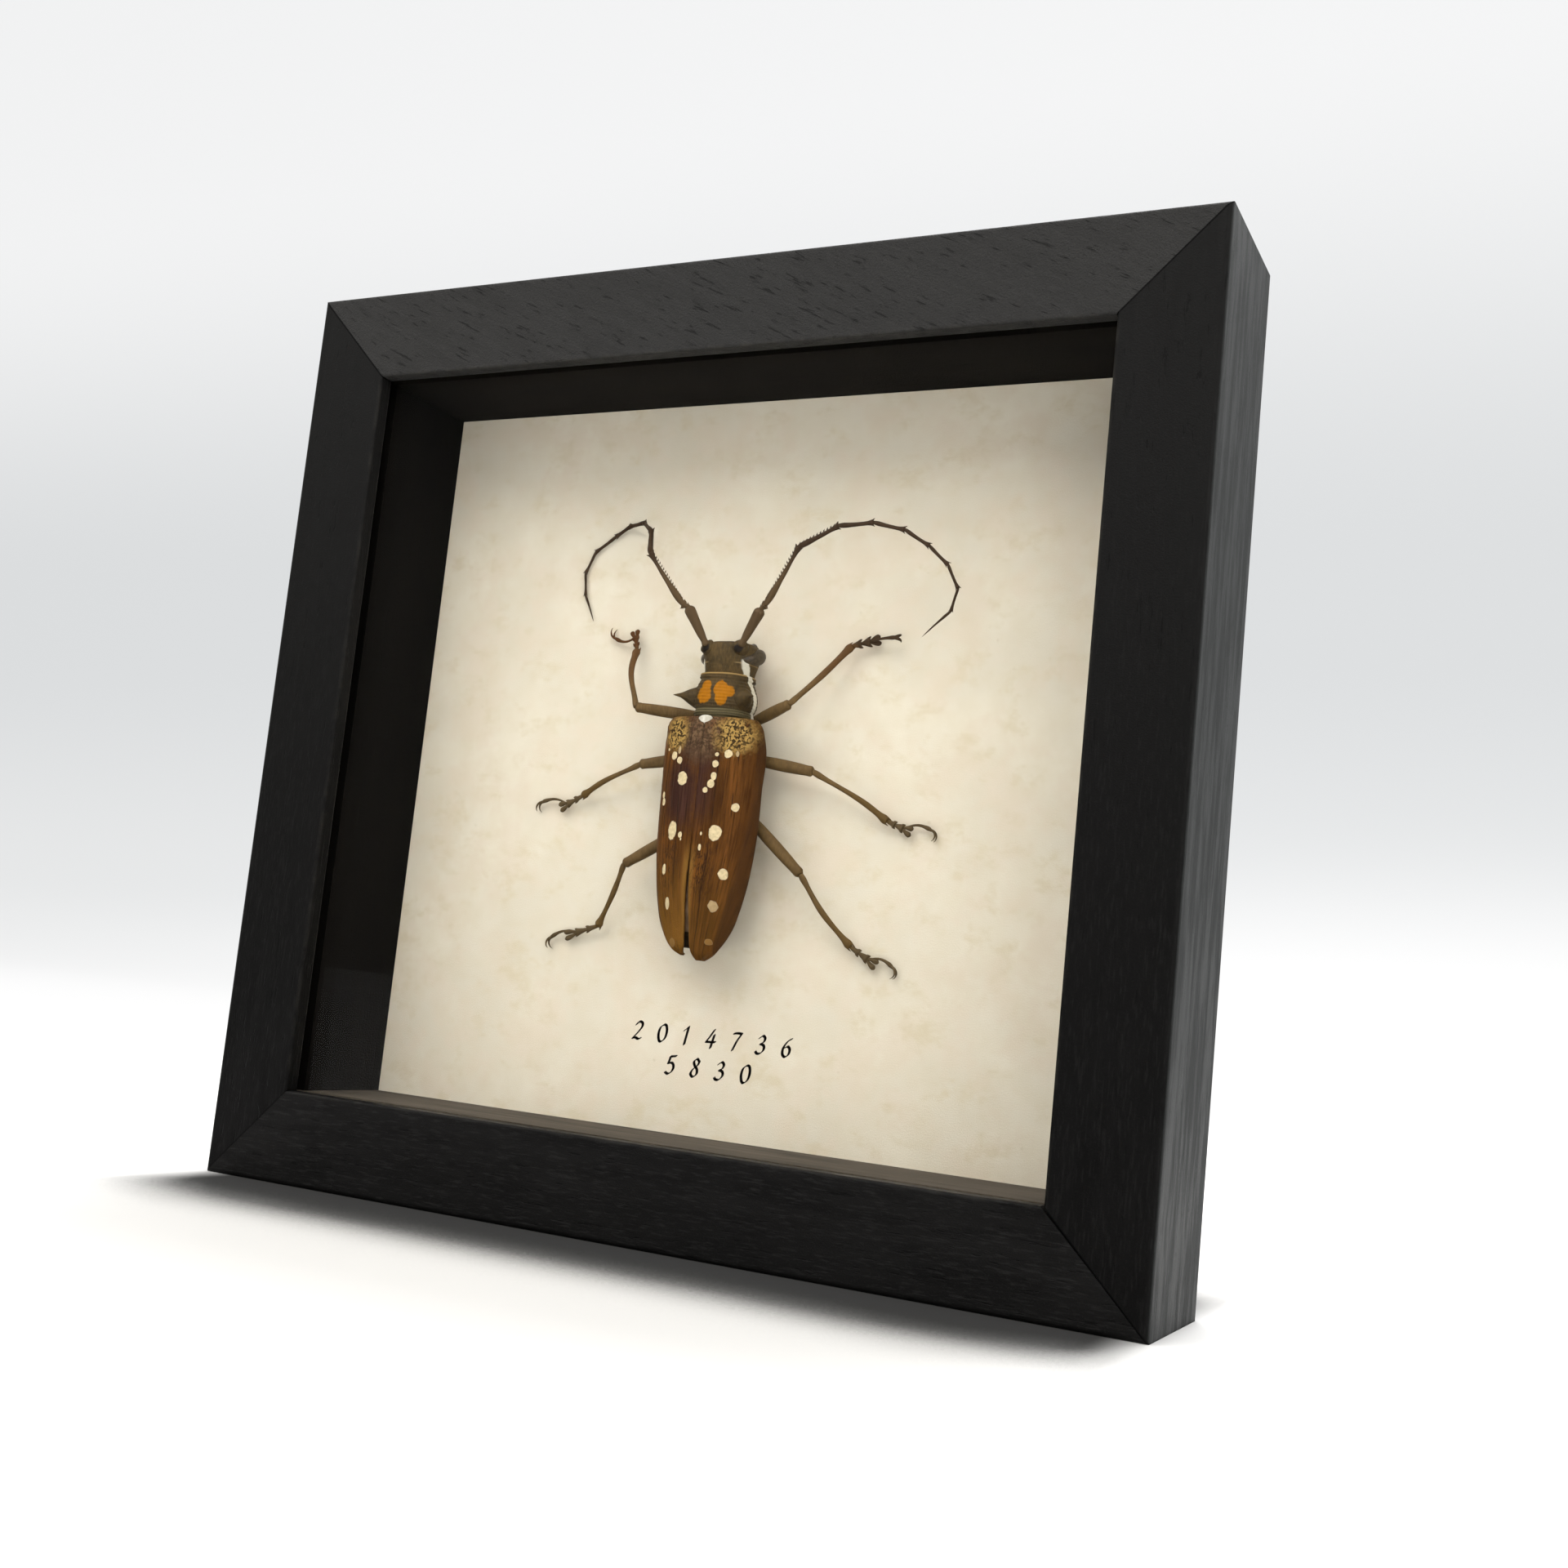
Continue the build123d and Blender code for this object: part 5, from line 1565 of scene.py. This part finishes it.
def antenna_parts(side):
    """Scape and ten more segments, each with its root inside the one before."""
    parts = Parts()
    joints = [fore(side * 3.3, 12.6, 9.1)] + [at(side * u, v, h) for u, v, h in ANTENNA_JOINTS[side]]
    parts.add(profile_rod(joints[0], joints[1], SCAPE, count=40, sides=24, flat=0.92))
    count = len(joints) - 1
    for i in range(1, count):
        radius = FIRST_RADIUS + (LAST_RADIUS - FIRST_RADIUS) * (i - 1) / (count - 2)
        direction = unit(joints[i + 1] - joints[i])
        inner = unit(np.cross(direction, PAPERWARDS) * side)
        tucked = joints[i] - direction * SEGMENT_OVERLAP * MM
        antenna_segment(parts, tucked, joints[i + 1], radius, i == count - 1, inner)
    return parts


class SPECIMEN_OT_antennae(bpy.types.Operator):
    """Make the two eleven-segment antennae"""

    bl_idname = "specimen.antennae"
    bl_label = "Antennae"

    def execute(self, context):
        tone = colours().antenna
        skin = body_finish("Antenna shell", tone, grey=(0.05, 0.032, 0.02), hairy=0.5, extra=antenna_marks)
        for side, node in ((-1, "antenna_left"), (1, "antenna_right")):
            parts = antenna_parts(side)
            new_piece(node + "_segments", parts, skin, node)
        return {"FINISHED"}


# Legs

# Hip, knee, calf, ankle, toe and claws, right of the midline, forward and above the paper, in mm
LEG_JOINTS = {
    "front_leg_left": [
        (-2.6, 0.9, 3.0), (-16.1, 1.9, 8.0), (-20.7, 10.1, 3.5),
        (-21.1, 13.5, 1.8), (-22.2, 16.9, 1.4), (-27.4, 15.7, 0.9),
    ],
    "front_leg_right": [
        (4.0, 0.2, 3.0), (14.0, 2.8, 8.5), (17.7, 8.6, 4.6),
        (21.5, 14.3, 2.0), (26.1, 15.5, 1.2), (30.2, 15.8, 2.2),
    ],
    "middle_leg_left": [
        (-3.6, -5.6, 3.0), (-16.0, -7.7, 4.6), (-25.0, -11.2, 2.8),
        (-29.2, -13.4, 1.5), (-34.0, -15.7, 1.0), (-39.2, -14.8, 0.9),
    ],
    "middle_leg_right": [
        (3.6, -5.6, 3.0), (18.0, -7.9, 5.0), (27.4, -12.8, 2.6),
        (30.8, -15.2, 1.6), (34.9, -16.7, 1.0), (39.5, -16.2, 0.9),
    ],
    "hind_leg_left": [
        (-3.6, -17.0, 3.0), (-16.5, -25.5, 5.4), (-18.8, -29.9, 3.8),
        (-22.8, -36.5, 1.6), (-29.7, -38.7, 1.0), (-33.9, -39.5, 0.9),
    ],
    "hind_leg_right": [
        (3.6, -14.0, 3.0), (17.6, -25.2, 5.0), (21.3, -30.9, 3.4),
        (26.4, -36.3, 1.6), (30.9, -38.9, 1.0), (34.9, -39.2, 0.9),
    ],
}
HEADWARDS = np.array([0.0, 0.0, 1.0])
TAILWARDS = -HEADWARDS
# Which way each dried foot's claws curl; the others curl towards the tail
CLAW_CURLS = {"front_leg_left": HEADWARDS, "front_leg_right": PAPERWARDS}
# Radius of the claws' bend in mm, and girth of the foot beside that of the other feet
PLAIN_FOOT = (1.0, 1.0)
OTHER_FEET = {"front_leg_right": (0.55, 1.3)}
FRONT_SHIN_GIRTH = 1.1
CLAW_TURN = math.radians(150)
CLAW_STEPS = 20
CLAW_SEGMENT_BOW = 0.7
CLAW_SPREAD = 0.6
LOBE_SPREAD = 0.6
# Share of the length and radius in mm of the leg's plain pieces
THIGH = [(0.0, 0.8), (0.2, 0.92), (0.5, 1.05), (0.8, 0.98), (0.93, 0.88), (0.98, 0.86), (1.0, 0.6)]
SHIN_SPUR = [(0, 0.2), (0.6, 0.13), (1, 0.03)]
FOOT_CORNER = [(0, 0.3), (0.6, 0.2), (1, 0.06)]
FOOT_LOBE = [(0, 0.22), (0.35, 0.3), (0.7, 0.46), (0.88, 0.42), (1, 0.16)]
CLAW_SEGMENT = [(0, 0.16), (0.3, 0.19), (0.7, 0.27), (0.93, 0.34), (1, 0.22)]


def shin_rings(knee, calf, ankle, girth):
    """Shin that bends at the calf and swells towards the ankle."""
    line = np.array([knee, knee + (calf - knee) * 0.1, calf, ankle])
    reach = lengths(line)
    samples = np.linspace(0, reach[-1], 50)
    radii = flow(
        [0, 0.05, 0.15, reach[2] / reach[-1], 0.9, 0.97, 1.0],
        [[0.45], [0.55], [0.46 * girth], [0.52 * girth], [0.58 * girth], [0.74], [0.55]],
        samples / reach[-1],
    )[:, 0]
    return rod(flow(reach, line, samples), radii * MM, sides=20, flat=0.85)


def leg_parts(name):
    """Thigh, shin with two spurs, and foot."""
    parts = Parts()
    hip, knee, calf, ankle, toe, tip = [at(*joint) for joint in LEG_JOINTS[name]]
    parts.add(profile_rod(hip, knee, THIGH, count=40, sides=24, flat=0.85))
    parts.add(shin_rings(knee, calf, ankle, FRONT_SHIN_GIRTH if name.startswith("front") else 1.0))
    ahead = unit(ankle - calf)
    across = unit(np.cross(ahead, PAPERWARDS))
    for spread in (-1, 1):
        root = ankle - ahead * 0.5 * MM + across * (0.55 * spread * MM)
        end = ankle + (ahead * 0.55 + across * 0.5 * spread + PAPERWARDS * 0.25) * MM
        parts.add(profile_rod(root, end, SHIN_SPUR, count=8, sides=8))
    bend, girth = OTHER_FEET.get(name, PLAIN_FOOT)
    foot_segments(parts, ankle, toe, girth)
    claws(parts, ankle, toe, tip, CLAW_CURLS.get(name, TAILWARDS), bend, girth)
    return parts


def foot_segments(parts, ankle, toe, girth):
    """Two cupped segments, then one that is split into two lobes."""
    segment = (toe - ankle) / 3
    ahead = unit(segment)
    across = unit(np.cross(ahead, PAPERWARDS))
    for i in range(2):
        start = ankle + segment * (i - 0.12)
        end = ankle + segment * (i + 1.02)
        wide = (0.55 + 0.12 * i) * girth
        cup = [(0, 0.24), (0.25, 0.34), (0.7, 0.85 * wide), (0.9, wide), (0.97, 0.9 * wide), (1, 0.35)]
        parts.add(profile_rod(start, end, cup, count=22, sides=18, flat=0.62))
        for side in (-1, 1):
            corner = end - ahead * 0.3 * MM + across * (side * 0.62 * wide * MM)
            point = end + ahead * 0.22 * MM + across * (side * 1.1 * wide * MM)
            parts.add(profile_rod(corner, point, FOOT_CORNER, count=8, sides=10, flat=0.7))
    for side in (-1, 1):
        end = toe + across * (side * LOBE_SPREAD * MM) + ahead * 0.25 * MM
        bow = across * side * 0.12
        parts.add(profile_rod(fork_place(ankle, toe), end, FOOT_LOBE, count=18, sides=16, flat=0.66, bow=bow))


def fork_place(ankle, toe):
    """Where the last lobed segment splits."""
    return ankle + (toe - ankle) / 3 * 1.85


def claws(parts, ankle, toe, tip, curl_towards, bend, girth):
    """Slim, bowed claw segment that grows from between the lobes, with its two claws."""
    fork = fork_place(ankle, toe)
    wrist = fork + (toe - fork) * 0.2
    forward = unit(tip - wrist)
    curl = unit(curl_towards - forward * np.dot(curl_towards, forward))
    root = tip - forward * bend * MM
    bow = -curl * CLAW_SEGMENT_BOW
    parts.add(profile_rod(wrist, root, CLAW_SEGMENT, count=26, sides=14, bow=bow))
    beside = np.cross(forward, curl)
    turns = np.linspace(0, CLAW_TURN, CLAW_STEPS)
    widths = np.interp(np.linspace(0, 1, CLAW_STEPS), [0, 0.5, 1], [0.24, 0.17, 0.03]) * girth
    for side in (-1, 1):
        line = []
        for turn_angle in turns:
            spread = side * (0.1 + CLAW_SPREAD * turn_angle / turns[-1])
            reach = forward * math.sin(turn_angle) + curl * (1 - math.cos(turn_angle))
            line.append(root - forward * 0.2 * MM + (reach * bend + beside * spread) * MM)
        parts.add(rod(np.array(line), widths * MM, sides=10))


class SPECIMEN_OT_legs(bpy.types.Operator):
    """Make the six legs with their lobed feet and claws"""

    bl_idname = "specimen.legs"
    bl_label = "Legs"

    def execute(self, context):
        for node in LEG_JOINTS:
            parts = leg_parts(node)
            words = node.replace("_", " ").capitalize()
            marks = leg_marks(node)
            skin = body_finish(words, colours().limb, grey=(0.2, 0.126, 0.05), hairy=0.6, extra=marks)
            new_piece(node + "_limb", parts, skin, node)
        return {"FINISHED"}


# Stage: floor, backdrop, lights and camera

FLOOR_WHITE = (0.97, 0.97, 0.97)
FLOOR_BASE = (0.66, 0.66, 0.66)
FLOOR_SHADE = (0.03, 0.03, 0.03)
HORIZON_GREY = (0.8, 0.81, 0.815)
WALL_GREY = (0.73, 0.745, 0.755)
WALL_WHITE = (0.92, 0.925, 0.93)
WARM_LIGHT = (1.0, 0.985, 0.955)
# Name, place, aim, width and height in metres, power in watts, and colour
LAMPS = (
    ("Key", (-0.4, -0.95, 1.25), (0, 0, 0.08), (1.7, 1.3), 26.0, WARM_LIGHT),
    ("Fill", (1.15, -0.85, 0.62), (0, 0, 0.08), (1.4, 1.2), 14.5, WARM_LIGHT),
    ("Top", (0.0, 0.75, 1.1), (0, 0, 0.0), (1.2, 0.9), 24.0, (1.0, 1.0, 1.0)),
)
SWEEP_STEPS = 24
CAMERA_PLACE = (143.81 * MM, -255.48 * MM, 41.68 * MM)
CAMERA_TURN = (96.840, -5.841, 26.261)
CAMERA_LENS = 40.04
SENSOR_WIDTH = 36.0


def stage_finish(name):
    """White floor that rises to a pale grey wall, and shows at its own brightness away from the object."""
    f = Finish(name, Roughness=0.9, Specular_IOR_Level=0.2)
    aside, _, height = f.split(f.place)
    rise = f.plus(height, f.ramp(aside, -1.6, 0.2, 0.1, -0.1))
    colour = f.mix(f.ramp(rise, -0.03, 0.2), opaque(FLOOR_WHITE), opaque(HORIZON_GREY))
    colour = f.mix(f.ramp(height, 0.07, 0.45), colour, opaque(WALL_GREY))
    colour = f.mix(f.ramp(height, 0.6, 1.35), colour, opaque(WALL_WHITE))
    # painted shadow: the floor turns dark where the object is near, except beyond the frame's sides
    nearby = f.add("ShaderNodeAmbientOcclusion", {"Distance": 0.048}, samples=16).outputs["AO"]
    beside = f.ramp(f.size(aside), 0.078, 0.088)
    floor = f.mix(f.most(f.ramp(nearby, 0.76, 0.95), beside), opaque(FLOOR_SHADE), opaque(FLOOR_BASE))
    f.set("Base Color", f.mix(f.ramp(height, 0.0, 0.05), floor, colour))
    glow = f.add("ShaderNodeEmission", {"Color": colour, "Strength": 1.0}).outputs[0]
    away = f.ramp(f.length(f.place), 0.16, 0.75, 0.0, 0.92)
    f.show(glow, ("Is Camera Ray", "Is Glossy Ray", "Is Transmission Ray"), away)
    return f.material


def sweep(name, half_width, front, back, radius, top, material):
    """Floor that turns up into a wall without a corner."""
    profile = [(front, 0.0), (back - radius, 0.0)]
    for i in range(1, SWEEP_STEPS + 1):
        t = math.radians(90) * i / SWEEP_STEPS
        profile.append((back - radius + radius * math.sin(t), radius - radius * math.cos(t)))
    profile.append((back, top))
    points = [(x, y, z) for y, z in profile for x in (-half_width, half_width)]
    faces = [(2 * i, 2 * i + 1, 2 * i + 3, 2 * i + 2) for i in range(len(profile) - 1)]
    mesh = bpy.data.meshes.new(name)
    mesh.from_pydata(points, [], faces)
    mesh.shade_smooth()
    mesh.materials.append(material)
    obj = bpy.data.objects.new(name, mesh)
    bpy.context.scene.collection.objects.link(obj)


def area_light(name, place, aim, size, power, colour):
    data = bpy.data.lights.new(name, "AREA")
    data.shape = "RECTANGLE"
    data.size, data.size_y = size
    data.energy = power
    data.color = colour
    obj = bpy.data.objects.new(name, data)
    obj.location = place
    obj.rotation_euler = (Vector(aim) - Vector(place)).to_track_quat("-Z", "Y").to_euler()
    bpy.context.scene.collection.objects.link(obj)


def soft_surroundings(scene):
    """Warm light from all round, stronger from behind and above."""
    world = bpy.data.worlds.new("Studio")
    scene.world = world
    world.use_nodes = True
    w = Wiring(world.node_tree)
    background = world.node_tree.nodes["Background"].inputs
    _, y, z = w.split(w.add("ShaderNodeTexCoord").outputs["Generated"])
    w.feed(background["Strength"], w.ramp(w.plus(y, w.times(z, 0.8)), -0.7, 0.2, 0.2, 0.8))
    background["Color"].default_value = opaque(WARM_LIGHT)


def photo_camera(scene):
    """Camera at the photograph's viewing angle."""
    lens = bpy.data.cameras.new("Camera")
    lens.lens = CAMERA_LENS
    lens.sensor_width = SENSOR_WIDTH
    lens.clip_start = 0.01
    camera = bpy.data.objects.new("Camera", lens)
    camera.location = CAMERA_PLACE
    camera.rotation_euler = [math.radians(angle) for angle in CAMERA_TURN]
    scene.collection.objects.link(camera)
    scene.camera = camera


class SPECIMEN_OT_stage(bpy.types.Operator):
    """Set the pale floor and backdrop, the soft studio lights and the camera"""

    bl_idname = "specimen.stage"
    bl_label = "Stage"

    def execute(self, context):
        scene = context.scene
        sweep(
            "sweep", half_width=3.5, front=-2.5, back=1.9, radius=1.1, top=3.2,
            material=stage_finish("Pale sweep"),
        )
        for lamp in LAMPS:
            area_light(*lamp)
        soft_surroundings(scene)
        photo_camera(scene)
        scene.view_settings.view_transform = "Standard"
        return {"FINISHED"}


# Add-on


class SPECIMEN_PT_panel(bpy.types.Panel):
    """Lists the steps that make the specimen"""

    bl_label = "Framed specimen"
    bl_idname = "SPECIMEN_PT_panel"
    bl_space_type = "VIEW_3D"
    bl_region_type = "UI"
    bl_category = "Specimen"

    def draw(self, context):
        for step in STEPS:
            self.layout.operator(step.bl_idname)


STEPS = (
    SPECIMEN_OT_case,
    SPECIMEN_OT_hardware,
    SPECIMEN_OT_caption,
    SPECIMEN_OT_wing_cases,
    SPECIMEN_OT_forebody,
    SPECIMEN_OT_underside,
    SPECIMEN_OT_antennae,
    SPECIMEN_OT_legs,
    SPECIMEN_OT_stage,
)
CLASSES = (SpecimenColours, SpecimenSizes, SPECIMEN_PT_panel) + STEPS


def register():
    for cls in CLASSES:
        bpy.utils.register_class(cls)
    bpy.types.Scene.specimen_colours = bpy.props.PointerProperty(type=SpecimenColours)
    bpy.types.Scene.specimen_sizes = bpy.props.PointerProperty(type=SpecimenSizes)


def unregister():
    del bpy.types.Scene.specimen_colours
    del bpy.types.Scene.specimen_sizes
    for cls in reversed(CLASSES):
        bpy.utils.unregister_class(cls)


def main():
    register()
    for step in STEPS:
        section, name = step.bl_idname.split(".")
        getattr(getattr(bpy.ops, section), name)()


if __name__ == "__main__":
    main()
